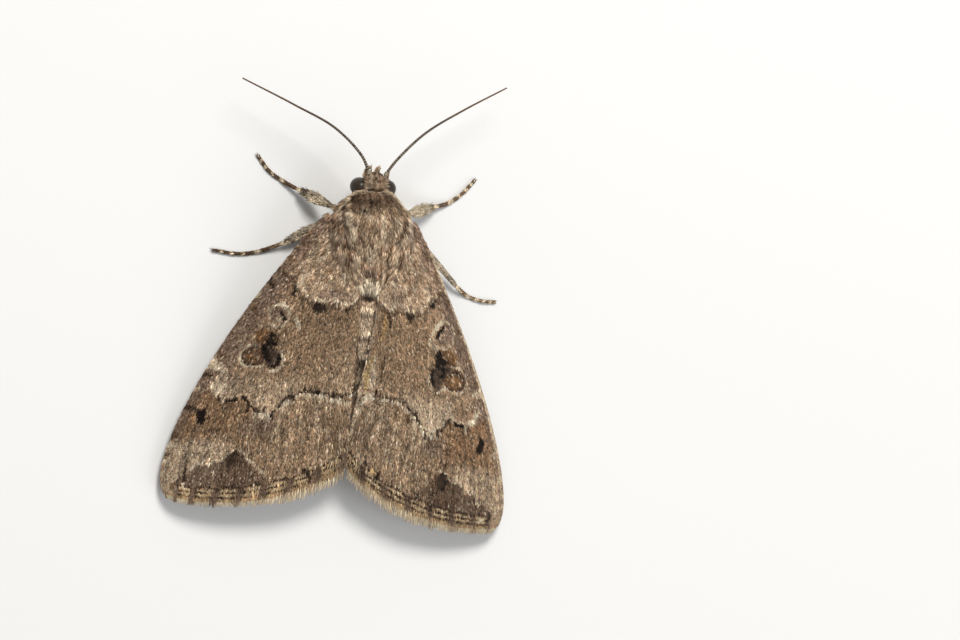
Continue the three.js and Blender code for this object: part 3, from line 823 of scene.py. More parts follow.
def mark_margin(marks, at):
    """The margin: bands of ochre and cream between fine dark lines, broken by grey at the veins."""
    s, left = at.s, at.left
    wave = cell_wave(at.t if left else at.t - 0.012)
    margin = rise(0.20, 0.27, at.t)
    mid_cell, on_vein = rise(-0.75, -0.25, wave), 1 - rise(-0.80, -0.30, wave)
    band = between(s, 0.890, 0.960, 0.003) * margin
    ground = {"ochre": 0.42, "pale": 0.08, "rust": 0.08, "dark": 0.0 if left else 0.18}
    paint_over(marks, ground, band * mid_cell)
    paint_over(marks, {"grey": 0.75, "dark": 0.45 if left else 0.30}, band * on_vein * (0.6 + 0.6 * at.fine))
    cream_lines = near(s - 0.900, 0.002, 0.003) + near(s - 0.926, 0.003, 0.003)
    marks["pale"] += 0.30 * cream_lines * mid_cell * margin
    for middle, bend, cover, open_middle in MARGIN_LINES:
        line = near(s - middle + bend * wave, 0.0036, 0.0030) * margin
        line *= 1 - (open_middle if left else 0.3 * open_middle) * rise(0.2, 0.9, wave)
        line *= 1 - (0.6 if left else 0.2) * on_vein
        paint_over(marks, UMBER, cover * line)


def mark_inner_edge(marks, at):
    """The inner margins beside the gap between them: painted shade along the left one, a pale edge on the
    right one.
    """
    if at.left:
        # Painted shade along the left wing's inner edge, where it falls away into the gap.
        seam = rise(0.30, 0.42, at.s) * (1 - rise(0.74, 0.82, at.s))
        paint_over(marks, UMBER, 0.7 * seam * rise(0.984, 0.994, at.edge_t))
    else:
        seam = between(at.s, 0.14, 0.78, 0.03) * rise(0.984, 0.992, at.edge_t)
        paint_over(marks, BUFF, seam * (0.5 + 0.6 * at.fine))


def mark_front_edge(marks, at):
    """The right front edge: a pale rim with a dark line behind it."""
    run = between(at.s, 0.08, 0.70, 0.03)
    paint_over(marks, BARK, 0.75 * run * near(at.t - 0.135, 0.015, 0.015) * rise(0.3, 0.6, at.crumb))
    rim = run * (1 - rise(0.070, 0.095, at.t)) * (0.6 + 0.4 * at.crumb)
    paint_over(marks, {"pale": 0.55, "ochre": 0.15}, rim)


def wing_marks(side, s, t):
    """How much of each colour lies at shares s, t of a forewing."""
    at = wing_places(side, s, t)
    marks = blank_marks(len(s))
    for mark in (
        mark_base, mark_middle, mark_outer_field, mark_cloud, mark_outer_line, mark_hem_spots, mark_margin,
        mark_inner_edge,
    ):
        mark(marks, at)
    for paint, half_width, points in (*FRONT_BARS, *WING_SHAPES[side]):
        broken = 0.50 + 0.65 * at.fine if paint.get("pale") else 1.0
        paint_over(marks, paint, np.minimum(painted(at.s, at.t, half_width, points) * broken, 1))
    if not at.left:
        mark_front_edge(marks, at)
    marks["tone"] = wing_tone(at)
    return within_bounds(marks)


def fringe_marks(side, t, row):
    """The fringe is buff between the veins and browner at them."""
    marks = blank_marks(len(t))
    wave = cell_wave(t)
    barred = (1.0 if side == "left" else 0.55) * (1 - 0.75 * rise(0.52, 0.76, t))
    tuft = 1 - barred * (1 - rise(-0.85, -0.25, wave))
    marks["ochre"] = 0.48 * tuft + 0.12
    marks["pale"] = (0.30 + 0.34 * (row > 0)) * tuft + 0.05
    marks["grey"] = 0.5 * (1 - tuft)
    marks["dark"] = 0.70 * (1 - tuft) + 0.30 * (row == 0) * (1 - rise(0.0, 0.7, wave))
    return marks


# ------------------------------------------------------------------ materials
LAYERS = ("grey", "rust", "ochre", "dark", "pale", "black")  # painted in this order over the ground
MID_GREY = (0.5, 0.5, 0.5, 1)


def feed(tree, socket, value):
    """Links another node's output to an input, or sets the input to a value."""
    if isinstance(value, bpy.types.NodeSocket):
        tree.links.new(value, socket)
    else:
        socket.default_value = value


def add_node(tree, kind, inputs):
    node = tree.nodes.new(kind)
    for label, value in inputs.items():
        feed(tree, node.inputs[label], value)
    return node


def mix_colour(tree, factor, a, b, blend="MIX"):
    node = tree.nodes.new("ShaderNodeMix")
    node.data_type = "RGBA"
    node.blend_type = blend
    for number, value in ((0, factor), (6, a), (7, b)):
        feed(tree, node.inputs[number], value)
    return node.outputs[2]


def arithmetic(tree, operation, *values):
    node = tree.nodes.new("ShaderNodeMath")
    node.operation = operation
    for socket, value in zip(node.inputs, values):
        feed(tree, socket, value)
    return node.outputs[0]


def shaded(tree, colour, gain):
    """A colour times a plain number."""
    level = add_node(tree, "ShaderNodeCombineColor", {"Red": gain, "Green": gain, "Blue": gain})
    return mix_colour(tree, 1.0, colour, level.outputs[0], "MULTIPLY")


def add_bump(tree, shader, height, strength, relief):
    bump = add_node(tree, "ShaderNodeBump", {"Strength": strength, "Distance": relief, "Height": height})
    tree.links.new(bump.outputs["Normal"], shader.inputs["Normal"])
    return bump


def node_group(name, inputs, outputs):
    group = bpy.data.node_groups.new(name, "ShaderNodeTree")
    for label, value in inputs.items():
        kind = "NodeSocketFloat" if isinstance(value, float) else "NodeSocketColor"
        socket = group.interface.new_socket(name=label, in_out="INPUT", socket_type=kind)
        socket.default_value = value
    for label, kind in outputs.items():
        group.interface.new_socket(name=label, in_out="OUTPUT", socket_type=kind)
    return group, group.nodes.new("NodeGroupInput").outputs, group.nodes.new("NodeGroupOutput").inputs


def coat_colours_group():
    """The ground colour with each layer's colour over it by its mark, and all of it by the tone."""
    colours = {f"{layer} colour": MID_GREY for layer in ("ground", *LAYERS)}
    amounts = {**dict.fromkeys(COLOURS, 0.0), "tone": 1.0}
    group, given, result = node_group("Coat colours", {**colours, **amounts}, {"Color": "NodeSocketColor"})
    colour = given["ground colour"]
    for layer in LAYERS:
        colour = mix_colour(group, given[layer], colour, given[f"{layer} colour"])
    group.links.new(shaded(group, colour, given["tone"]), result["Color"])
    return group


def fine_grain_group():
    """Small speckle in colour, height and roughness."""
    inputs = {"Color": MID_GREY, "Grains per metre": 10000.0, "Contrast": 0.3, "Roughness": 0.7}
    outputs = {"Color": "NodeSocketColor", "Height": "NodeSocketFloat", "Roughness": "NodeSocketFloat"}
    group, given, result = node_group("Fine grain", inputs, outputs)
    place = group.nodes.new("ShaderNodeTexCoord").outputs["Object"]
    scale = given["Grains per metre"]
    settings = {"Detail": 3.0, "Vector": place, "Scale": scale}
    noise = add_node(group, "ShaderNodeTexNoise", settings).outputs["Fac"]
    off_middle = arithmetic(group, "SUBTRACT", noise, 0.5)
    gain = arithmetic(group, "MULTIPLY_ADD", off_middle, given["Contrast"], 1.0)
    group.links.new(shaded(group, given["Color"], gain), result["Color"])
    group.links.new(noise, result["Height"])
    roughness = arithmetic(group, "MULTIPLY_ADD", off_middle, 0.25, given["Roughness"])
    group.links.new(roughness, result["Roughness"])
    return group


COAT_COLOURS = coat_colours_group()
FINE_GRAIN = fine_grain_group()

PAINTS = {
    "ground": (0.440, 0.284, 0.166),
    "pale": (0.90, 0.76, 0.56),
    "dark": (0.125, 0.072, 0.040),
    "black": (0.018, 0.010, 0.006),
    "rust": (0.42, 0.16, 0.035),
    "ochre": (0.70, 0.47, 0.19),
    "grey": (0.30, 0.205, 0.150),
}


def new_material(name, settings):
    """A material, its node tree and its shader with the given inputs."""
    material = bpy.data.materials.new(name)
    material.use_nodes = True
    shader = material.node_tree.nodes["Principled BSDF"]
    for label, value in settings.items():
        shader.inputs[label].default_value = value
    return material, material.node_tree, shader


def coat_material(name, grains, contrast, roughness, relief, ground=PAINTS["ground"]):
    """Colour from the marks on the mesh, fine grain over it, and relief in metres."""
    material, tree, shader = new_material(name, {"Specular IOR Level": 0.2})
    colours = tree.nodes.new("ShaderNodeGroup")
    colours.node_tree = COAT_COLOURS
    for layer, paint in {**PAINTS, "ground": ground}.items():
        colours.inputs[f"{layer} colour"].default_value = (*paint, 1)
    for mark in MARKS:
        reader = tree.nodes.new("ShaderNodeAttribute")
        reader.attribute_name = mark
        tree.links.new(reader.outputs["Fac"], colours.inputs[mark])
    grain = tree.nodes.new("ShaderNodeGroup")
    grain.node_tree = FINE_GRAIN
    given = {
        "Grains per metre": grains, "Contrast": contrast, "Roughness": roughness,
        "Color": colours.outputs["Color"],
    }
    for label, value in given.items():
        feed(tree, grain.inputs[label], value)
    tree.links.new(grain.outputs["Color"], shader.inputs["Base Color"])
    tree.links.new(grain.outputs["Roughness"], shader.inputs["Roughness"])
    add_bump(tree, shader, grain.outputs["Height"], 0.6, relief)
    return material


WING_SCALES = coat_material("wing scales", 16000, 0.35, 0.72, 0.00001)
WING_MEMBRANE = coat_material("wing membrane", 9000, 0.5, 0.6, 0.00002)
HIND_SCALES = coat_material("hindwing scales", 14000, 0.3, 0.75, 0.00001, ground=(0.46, 0.34, 0.22))
BODY_HAIR = coat_material("body hair", 14000, 0.35, 0.78, 0.00001, ground=(0.415, 0.292, 0.178))
BODY_SKIN = coat_material("body skin", 7000, 0.6, 0.8, 0.00003, ground=(0.26, 0.17, 0.10))
LEG_SCALES = coat_material("leg scales", 14000, 0.3, 0.7, 0.00001, ground=(0.46, 0.35, 0.21))
FEELER_SHELL = coat_material("feeler shell", 12000, 0.4, 0.5, 0.00001, ground=(0.042, 0.030, 0.020))
CLAW_HORN = coat_material("claw horn", 9000, 0.3, 0.35, 0.00001, ground=(0.05, 0.025, 0.012))


def eye_material():
    """Near-black, polished, with faint mottling under the facets."""
    finish = {"Roughness": 0.34, "Specular IOR Level": 0.22, "Coat Weight": 0.06, "Coat Roughness": 0.32}
    material, tree, shader = new_material("eye", finish)
    place = tree.nodes.new("ShaderNodeTexCoord").outputs["Object"]
    mottle = add_node(tree, "ShaderNodeTexNoise", {"Scale": 3200, "Vector": place})
    strong = arithmetic(tree, "MULTIPLY_ADD", mottle.outputs["Fac"], 2.2, -0.75)
    clamp = add_node(tree, "ShaderNodeClamp", {"Value": strong})
    colour = mix_colour(tree, clamp.outputs[0], (0.011, 0.008, 0.005, 1), (0.040, 0.025, 0.015, 1))
    tree.links.new(colour, shader.inputs["Base Color"])
    facets = add_node(tree, "ShaderNodeTexVoronoi", {"Scale": 26000, "Vector": place})
    bump = add_bump(tree, shader, facets.outputs["Distance"], 0.25, 0.000004)
    bump.invert = True
    return material


EYE_GLOSS = eye_material()


# ------------------------------------------------------------------ wings
SCALE_SHEEN = 1.58  # how much lighter the lying scales are painted, for the shade they throw on each other
# The fringe's scales are painted lighter as well, for the shade they throw on each other.
FRINGE_SHEEN = 1.45
SCALE_LENGTH, SCALE_WIDTH = 0.37, 0.125
SCALE_ROW_GAP, SCALE_GAP = 0.100, 0.064
SHAG_LENGTH, SHAG_WIDTH = 0.34, 0.070
SHAG_ROW_GAP, SHAG_GAP, SHAG_TUFT = 0.072, 0.074, 0.26
PLAIN_SCALE_WIDTH, PLAIN_ROW_GAP, PLAIN_GAP = 0.33, 0.20, 0.21
SCALES_PART = 0.55  # share of the wing's length where its inner scales meet its outer ones
FRINGE_ROWS = ((0.940, 0.42, 0.055, 0.05), (0.944, 0.58, 0.05, 0.0), (0.947, 0.68, 0.045, -0.05))
HIND_FRINGE_COUNT, HIND_FRINGE_LENGTH = 900, 0.55


def add_plate(name, top, bottom, rows, columns, marks_at):
    """A closed thin membrane between two faces over the same shares."""
    above, quads, u, v = lattice(top, rows, columns)
    below, _, _, _ = lattice(bottom, rows, columns)
    grid = np.arange(rows * columns).reshape(rows, columns)
    rim = np.concatenate([grid[0, :-1], grid[:-1, -1], grid[-1, :0:-1], grid[:0:-1, 0]])
    after = np.roll(rim, -1)
    offset = rows * columns
    walls = np.stack([rim, after, after + offset, rim + offset], -1)
    faces = np.concatenate([quads, quads[:, ::-1] + offset, walls])
    marks = {key: np.tile(values, 2) for key, values in marks_at(u, v).items()}
    return add_mesh(name, np.concatenate([above, below]), faces, WING_MEMBRANE, marks)


def wing_bake_uv(s, t):
    return bake_place(np.clip(s, 0, 1.02), np.clip(t, 0, 1.02))


def add_wing_scales(name, side, s, t, rng):
    """The flat scales of the wing, in overlapping rows."""
    count = len(s)
    straggle = between(t, 0.92, 0.985, 0.02) * rise(0.55, 0.65, s)
    length = SCALE_LENGTH * (0.80 + 0.4 * rng.random(count)) + 0.20 * straggle
    width = lerp(SCALE_WIDTH, 0.08, straggle) * (0.85 + 0.3 * rng.random(count))
    roots, along, up = frames_on(wing_face(side), s, t, facing=UP)
    along = swing(along, up, 0.10, rng, MIRROR[side] * -0.10 * rise(0.2, 0.5, s))
    plain = 1 - rise(0.87, 0.89, s)
    marks = wing_marks(side, s + 0.85 * length / WING_REACH, t)
    marks = flecked(marks, rng, 0.18 + 0.20 * plain, 0.07 * plain, 0.12 * plain)
    marks["tone"] = marks["tone"] * SCALE_SHEEN
    sizes = (length, width, 0.15 + 0.05 * rng.random(count), -0.03)
    where = (roots, along, up)
    add_blades(name, SCALE, where, sizes, marks, wing_bake_uv(s, t), WING_SCALES)


def add_wing_shag(side, top, rng):
    """Tufted hair over the wing's base, ending in a ragged hem."""
    s, t = spread_over(top, SHAG_ROW_GAP, SHAG_GAP, rng, (0.0, 0.20))
    keep = s < along_line(INNER_LINE[side], t) - 0.009 - 0.012 * drift(s * 30, t * 95, 18)
    s, t = s[keep], t[keep]
    count = len(s)
    length = SHAG_LENGTH * (0.8 + 0.4 * rng.random(count)) * (1 + 0.35 * (1 - rise(0.03, 0.10, s)))
    roots, along, up = frames_on(top, s, t, facing=UP)
    along = swing(along, up, 0.27, rng)
    along, apart, own = tufted(roots, along, up, length, SHAG_TUFT, 0.50, rng)
    marks = flecked(wing_marks(side, s + 0.7 * length / WING_REACH, t), rng, spread=0.22)
    marks["tone"] = marks["tone"] * tuft_shade(apart, own)
    add_blades(
        f"forewing_{side}_shag", LOCK, (roots, along, up), (length, SHAG_WIDTH, 0.26 + 0.22 * own, -0.16),
        marks, wing_bake_uv(s, t), WING_SCALES,
    )


def add_plain_scales(name, face, facing, length, marks_at, rng, span=(0, 1)):
    """Coarser scales of one shade, for the faces that are seldom seen."""
    s, t = spread_over(face, PLAIN_ROW_GAP, PLAIN_GAP, rng, span)
    roots, along, up = frames_on(face, s, t, facing=facing)
    along = swing(along, up, 0.1, rng)
    marks = flecked(marks_at(s, t), rng)
    sizes = (length, PLAIN_SCALE_WIDTH, 0.10, -0.02)
    add_blades(name, SCALE, (roots, along, up), sizes, marks, wing_bake_uv(s, t), HIND_SCALES)


def under_marks(s, t):
    """The forewing's underside: buff-grey, with a dark spot and two dark bands."""
    marks = blank_marks(len(s))
    marks["grey"] = 0.3 + 0.4 * rise(0.5, 0.7, drift(s * 9, t * 6, 21))
    marks["pale"] = 0.45 * (1 - rise(0.0, 0.14, t)) + 0.25 * rise(0.6, 0.8, drift(s * 20, t * 12, 22))
    marks["dark"] = 0.6 * spot(s, t, (0.40, 0.45), (0.02, 0.06))
    marks["dark"] = marks["dark"] + 0.45 * near(s - 0.62, 0.01, 0.03) + 0.5 * near(s - 0.93, 0.01, 0.02)
    return marks


def add_fringe(side, top, rng):
    """Rows of long narrow scales on the outer margin."""
    margin = length_of(top(np.full(200, 0.96), np.linspace(0, 1, 200))).sum()
    parts = []
    for row, (start, reach, gap, lift) in enumerate(FRINGE_ROWS):
        number = int(margin / gap)
        t = (np.arange(number) + rng.random(number)) / number
        fixed = (np.full(number, value) for value in (reach, lift, row))
        parts.append((start + 0.004 * rng.random(number), t, *fixed))
    s, t, reach, lift, row = (np.concatenate(column) for column in zip(*parts))
    share = mark_share(side, s, t)
    hindmost = lerp(1.0, 1.75, rise(0.58, 0.88, t)) if side == "left" else lerp(1.1, 1.7, rise(0.35, 0.85, t))
    length = reach * hindmost * (1 - 0.03 * cell_wave(share))
    length = length * (0.86 + 0.22 * rng.random(len(s))) * (0.55 + 0.45 * rise(0.0, 0.06, t))
    roots, along, up = frames_on(top, s, t, facing=UP)
    roots = roots - up * MEMBRANE * 0.5
    marks = flecked(fringe_marks(side, share, row), rng, spread=0.16, light=0.05, deep=0.05)
    marks["tone"] = marks["tone"] * FRINGE_SHEEN
    add_blades(
        f"forewing_{side}_fringe", SCALE, (roots, swing(along, up, 0.09, rng), up),
        (length, 0.085, lift, -0.05), marks, wing_bake_uv(s, t), WING_SCALES,
    )


def add_forewing(side):
    top, bottom = wing_face(side), wing_face(side, drop=COAT_DEPTH + MEMBRANE)

    def short_of_fringe(face):
        return lambda u, v: face(u * FRINGE_START, v)

    membrane = add_plate(
        f"forewing_{side}_membrane", short_of_fringe(top), short_of_fringe(bottom), 150, 84,
        short_of_fringe(lambda s, t: wing_marks(side, s, t)),
    )
    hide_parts(f"forewing_{side}")

    rng = np.random.default_rng({"left": 41, "right": 42}[side])
    s, t = spread_over(top, SCALE_ROW_GAP, SCALE_GAP, rng, (0.12, FRINGE_START))
    inner = (s > along_line(INNER_LINE[side], t) - 0.012) & (s <= SCALES_PART)
    add_wing_scales(f"forewing_{side}_inner_scales", side, s[inner], t[inner], rng)
    outer = s > SCALES_PART
    add_wing_scales(f"forewing_{side}_outer_scales", side, s[outer], t[outer], rng)
    add_wing_shag(side, top, rng)
    add_plain_scales(
        f"forewing_{side}_under_scales", bottom, DOWN, 0.46, under_marks, rng,
        (0.02, FRINGE_START),
    )
    add_fringe(side, top, rng)


def hind_marks(a, b):
    """The hindwing: plain brown-buff with a darker border."""
    marks = blank_marks(len(a))
    marks["dark"] = 0.5 * rise(0.70, 0.92, a) + 0.3 * near(a - 0.5, 0.01, 0.03)
    marks["grey"] = 0.25 + 0.4 * drift(a * 8, b * 5, 31)
    marks["pale"] = 0.35 * (1 - rise(0.1, 0.6, a))
    marks["black"] = 0.7 * rise(0.80, 0.92, b)
    return marks


def add_hindwing(side):
    top, bottom = hind_face(side, HIND_DROP), hind_face(side, HIND_DROP + MEMBRANE)
    membrane = add_plate(f"hindwing_{side}_membrane", top, bottom, 60, 30, hind_marks)
    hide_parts(f"hindwing_{side}")
    rng = np.random.default_rng({"left": 51, "right": 52}[side])
    for label, face, facing in (("upper", top, UP), ("lower", bottom, DOWN)):
        name = f"hindwing_{side}_{label}_scales"
        add_plain_scales(name, face, facing, 0.45, hind_marks, rng)
    b = np.sort(rng.random(HIND_FRINGE_COUNT))
    roots, along, up = frames_on(top, np.full(HIND_FRINGE_COUNT, 0.985), b, facing=UP)
    marks = blank_marks(HIND_FRINGE_COUNT)
    marks["pale"] = 0.2 + 0.5 * rng.random(HIND_FRINGE_COUNT)
    along = swing(along, up, 0.1, rng)
    length = HIND_FRINGE_LENGTH * (0.8 + 0.4 * rng.random(HIND_FRINGE_COUNT))
    add_blades(
        f"hindwing_{side}_fringe", SCALE, (roots, along, up), (length, 0.08, 0.0, -0.05), marks,
        wing_bake_uv(np.ones(HIND_FRINGE_COUNT), b), HIND_SCALES,
    )


# ------------------------------------------------------------------ tubes
def cubic(b, c, v0, v1, w):
    """A cubic between b and c with the slopes v0 and v1, at share w."""
    return (2 * b - 2 * c + v0 + v1) * w**3 + (-3 * b + 3 * c - 2 * v0 - v1) * w**2 + v0 * w + b


def through(places, k):
    """A smooth curve through evenly counted places, at share k."""
    places = np.asarray(places, float)
    last = len(places) - 1
    p = np.clip(np.asarray(k, float), 0, 1) * last
    i = np.minimum(np.floor(p).astype(int), last - 1)
    a, b, c, d = (places[np.clip(i + n, 0, last)] for n in (-1, 0, 1, 2))
    return cubic(b, c, (c - a) / 2, (d - b) / 2, (p - i)[..., None])


def smooth_path(places, count=160):
    """Even steps along a curve through unevenly spaced places."""
    places = np.asarray(places, float)
    if len(places) == 2:
        return lerp(places[0], places[1], np.linspace(0, 1, count)[:, None])
    ends = np.concatenate([[2 * places[0] - places[1]], places, [2 * places[-1] - places[-2]]])
    w = np.linspace(0, 1, 60, endpoint=False)[:, None]
    run = []
    for a, b, c, d in zip(ends, ends[1:], ends[2:], ends[3:]):
        k0, k1, k2 = (max(np.linalg.norm(q - p), 1e-4) ** 0.5 for p, q in ((a, b), (b, c), (c, d)))
        v0 = ((b - a) / k0 - (c - a) / (k0 + k1) + (c - b) / k1) * k1
        v1 = ((c - b) / k1 - (d - b) / (k1 + k2) + (d - c) / k2) * k1
        run.append(cubic(b, c, v0, v1, w))
    dense = np.concatenate([*run, places[-1:]])
    travel = np.concatenate([[0], np.cumsum(length_of(dense))])
    even = np.linspace(0, travel[-1], count)
    return np.stack([np.interp(even, travel, dense[:, axis]) for axis in range(3)], -1)


def tube(places, radius_at, count=160):
    """surface(u, v) of a round tube along a path; v goes round it from its upper side."""
    path = smooth_path(places, count)
    forward = unit(np.gradient(path, axis=0))
    up = np.zeros_like(path)
    up[0] = unit(np.cross(np.cross(forward[0], UP), forward[0]) + 1e-6)
    for n in range(1, count):
        up[n] = unit(up[n - 1] - forward[n] * (up[n - 1] @ forward[n]))
    side = np.cross(forward, up)
    shares = np.linspace(0, 1, count)

    def surface(u, v):
        u = np.clip(u, 0, 1)
        centre, lifted, beside = (
            np.stack([np.interp(u, shares, line[:, axis]) for axis in range(3)], -1)
            for line in (path, up, side)
        )
        turn = 2 * np.pi * v
        ring = lifted * np.cos(turn)[..., None] + beside * np.sin(turn)[..., None]
        return centre + ring * radius_at(u)[..., None]

    return surface


def closed_tube(surface, rows, columns):
    """Points and faces of a tube with its ends closed by quads that meet in a point."""
    points, quads, u, v = lattice(surface, rows, columns, closed=True)
    first, last = points[:columns].mean(0), points[-columns:].mean(0)
    n = len(points)
    j = np.arange(0, columns, 2)
    start = np.stack([j, (j + 1) % columns, (j + 2) % columns, np.full(len(j), n)], -1)
    tail = (rows - 1) * columns
    end = np.stack([tail + (j + 2) % columns, tail + (j + 1) % columns, tail + j, np.full(len(j), n + 1)], -1)
    points = np.concatenate([points, [first, last]])
    faces = np.concatenate([quads, start, end])
    return points, faces, np.concatenate([u, [0, 1]]), np.concatenate([v, [0, 0]])


def rounded(u, sharp=8):
    """1 along a tube, shrinking at its two ends; the sharper, the shorter."""
    return np.sqrt(np.clip(1 - np.abs(2 * u - 1) ** sharp, 0.02, 1))


# ------------------------------------------------------------------ body
THORAX = (  # stations from front to rear: (y, half width, top, underside)
    (-0.45, 1.1, 4.45, 2.6), (-0.95, 1.92, 5.0, 2.05), (-1.6, 2.55, 5.4, 1.6), (-2.4, 3.05, 5.68, 1.3),
    (-3.4, 3.22, 5.78, 1.12), (-4.6, 2.95, 5.72, 1.1), (-5.7, 2.3, 5.42, 1.25), (-6.8, 1.5, 5.02, 1.9),
    (-7.6, 0.7, 4.6, 3.4),
)
ABDOMEN = (
    (-6.3, 1.8, 4.4, 1.35), (-8.3, 1.95, 4.35, 1.0), (-10.3, 1.9, 3.95, 0.85), (-12.3, 1.65, 3.4, 0.8),
    (-14.3, 1.3, 2.95, 0.85), (-16.3, 0.85, 2.45, 0.95), (-17.8, 0.35, 1.95, 1.2),
)
HAIR_DEPTH = {"thorax": 0.30, "abdomen": 0.14, "lappets": 0.22}  # how far the skin lies inside the stations
HEAD_EGGS = (((0, 0, 3.45), (0.84, 0.76, 1.04)), ((0, 0.42, 3.55), (0.72, 0.54, 0.84)))
SKIN_VOXEL = 0.085
RING_START, RING_LENGTH = -6.92, 1.58
EYE_CENTRE = np.array([0.94, -0.1, 3.35])
EYE_RADII = np.array([0.64, 0.62, 0.85])
PALP_PATH = ((0.32, 0.2, 2.35), (0.34, 0.95, 2.4), (0.34, 1.22, 2.9), (0.31, 1.2, 3.6))
COLLAR_FRONT = ((0.7, -0.26), (0.95, -0.30), (1.42, -0.62), (1.8, -1.08), (2.1, -1.45), (2.6, -2.1))  # |x|, y
COLLAR_RIM = {  # where the collar's pale front rim stands up, from the middle outwards
    "left": ((0.0, -0.44, 4.26), (-0.50, -0.43, 4.26), (-0.80, -0.36, 4.22), (-1.08, -0.46, 4.08),
             (-1.36, -0.62, 3.90), (-1.68, -0.90, 3.68)),
    "right": ((0.0, -0.44, 4.26), (0.40, -0.38, 4.26), (0.66, -0.29, 4.25), (1.00, -0.32, 4.17),
              (1.32, -0.54, 3.98), (1.64, -0.80, 3.80), (1.94, -1.09, 3.62), (2.38, -1.51, 3.38)),
}
# Lines over the thorax: (colour, strength, half width, points x, y, how soft)
THORAX_LINES = (
    ("black", 0.62, 0.09, ((-2.12, -2.1), (-2.08, -2.6), (-1.95, -3.1)), 0.08),
    ("dark", 0.75, 0.20, ((-1.95, -3.1), (-1.75, -3.9), (-1.58, -4.6), (-1.66, -5.2)), 0.2),
    ("black", 0.55, 0.13, ((1.98, -2.15), (2.02, -2.45)), 0.08),
    ("dark", 0.70, 0.14, ((2.65, -2.4), (2.75, -2.6)), 0.08),
    ("dark", 0.28, 0.10, ((1.85, -2.6), (1.75, -3.6), (1.6, -4.6)), 0.15),
    ("pale", 0.35, 0.14, ((-1.85, -2.0), (-1.75, -2.6), (-1.48, -3.4)), 0.12),
    ("pale", 0.40, 0.12, ((0.40, -1.8), (0.45, -2.8), (0.55, -3.8)), 0.12),
    ("pale", 0.30, 0.12, ((2.35, -2.2), (2.45, -2.9)), 0.12),
)


def thorax_swell(y, angle):
    collar = 0.06 * np.exp(-(((y + 1.25) / 0.45) ** 4))
    tegula = 0.11 * np.exp(-(((angle - 47) / 15) ** 2) - ((y + 3.7) / 1.6) ** 4)
    crest = 0.06 * np.exp(-(((angle - 90) / 22) ** 2) - ((y + 6.1) / 0.9) ** 4)
    return collar + tegula + crest


def ring_share(y):
    """How far along its ring a place of the abdomen lies, 0 at the ring's front."""
    return ((RING_START - y) / RING_LENGTH) % 1


def abdomen_swell(y, angle):
    return 0.05 * (ring_share(y) - 0.5)


def trunk(stations, depth, swell):
    """surface(u, v) of a body through stations, depth inside them."""

    def surface(u, v):
        y, half_width, top, underside = np.moveaxis(through(stations, u), -1, 0)
        turn = 2 * np.pi * v
        x, z = np.cos(turn), np.sin(turn)
        size = 1 + swell(y, np.degrees(np.arctan2(z, np.abs(x))))
        wide = np.maximum(half_width - depth, 0.15)
        tall = np.maximum((top - underside) / 2 - depth, 0.15)
        return np.stack([x * wide * size, y, (top + underside) / 2 + z * tall * size], -1)

    return surface


def egg(centre, radii):
    """surface(u, v) of an egg, u from its front pole to its rear pole."""

    def surface(u, v):
        lat = np.pi * np.clip(u, 0.004, 0.996)
        lon = 2 * np.pi * v
        shape = np.stack([np.sin(lat) * np.cos(lon), np.cos(lat), np.sin(lat) * np.sin(lon)], -1)
        return np.asarray(centre) + shape * np.asarray(radii)

    return surface


def fused(forms, voxel):
    """One closed skin round several overlapping forms. Returns points, quads."""
    points, faces = joined([closed_tube(surface, rows, columns)[:2] for surface, rows, columns in forms])
    mesh = bpy.data.meshes.new("forms")
    mesh.from_pydata(points.tolist(), [], faces.tolist())
    form = placed("forms", mesh)
    remesh = form.modifiers.new("one skin", "REMESH")
    remesh.mode = "VOXEL"
    remesh.voxel_size = voxel
    ease = form.modifiers.new("ease", "SMOOTH")
    ease.factor = 0.5
    ease.iterations = 4
    done = form.evaluated_get(bpy.context.evaluated_depsgraph_get()).to_mesh()
    places = np.zeros(len(done.vertices) * 3, np.float32)
    done.vertices.foreach_get("co", places)
    corners = np.zeros(len(done.loops), np.int32)
    done.loops.foreach_get("vertex_index", corners)
    bpy.data.objects.remove(form)
    return places.reshape(-1, 3).astype(float), corners.reshape(-1, 4)


def scatter(points, quads, gap, rng, keep):
    """Places evenly over a skin, with its outward direction there."""
    a, b, c, d = (points[quads[:, k]] for k in range(4))
    normal = np.cross(c - a, d - b)
    area = np.linalg.norm(normal, axis=1) / 2 * keep((a + b + c + d) / 4)
    number = int(area.sum() / gap**2 * 3.2)
    pick = rng.choice(len(quads), number, p=area / area.sum())
    i, j = rng.random((number, 1)), rng.random((number, 1))
    place = lerp(lerp(a[pick], b[pick], i), lerp(d[pick], c[pick], i), j)
    _, first = np.unique(np.floor(place / gap).astype(int), axis=0, return_index=True)
    first.sort()
    return place[first], unit(normal[pick[first]])


def body_line(x, y, half_width, points, soft=0.08):
    """How much of each place a line over the body covers."""
    cover = np.zeros(len(x))
    for start, end in zip(points, points[1:]):
        cover = np.maximum(cover, near(to_stretch(x, y, start, end)[1], half_width, soft))
    return cover


def body_places(p):
    """Places on head, thorax and abdomen, and the random fields over them."""
    x, y, z = p.T
    return SimpleNamespace(
        x=x, y=y, z=z, ax=np.abs(x), upper=rise(2.6, 3.6, z),
        cloud=drift(x * 1.6 + 9, y * 1.6 + 30, 61), fine=drift(x * 5 + 20, y * 4 + 50 + z * 3, 62),
        strand=drift(x * 6 + 20, y * 1.2 + 40, 63), patchy=drift(x * 3 + 7, y * 2.2 + 22, 64),
    )


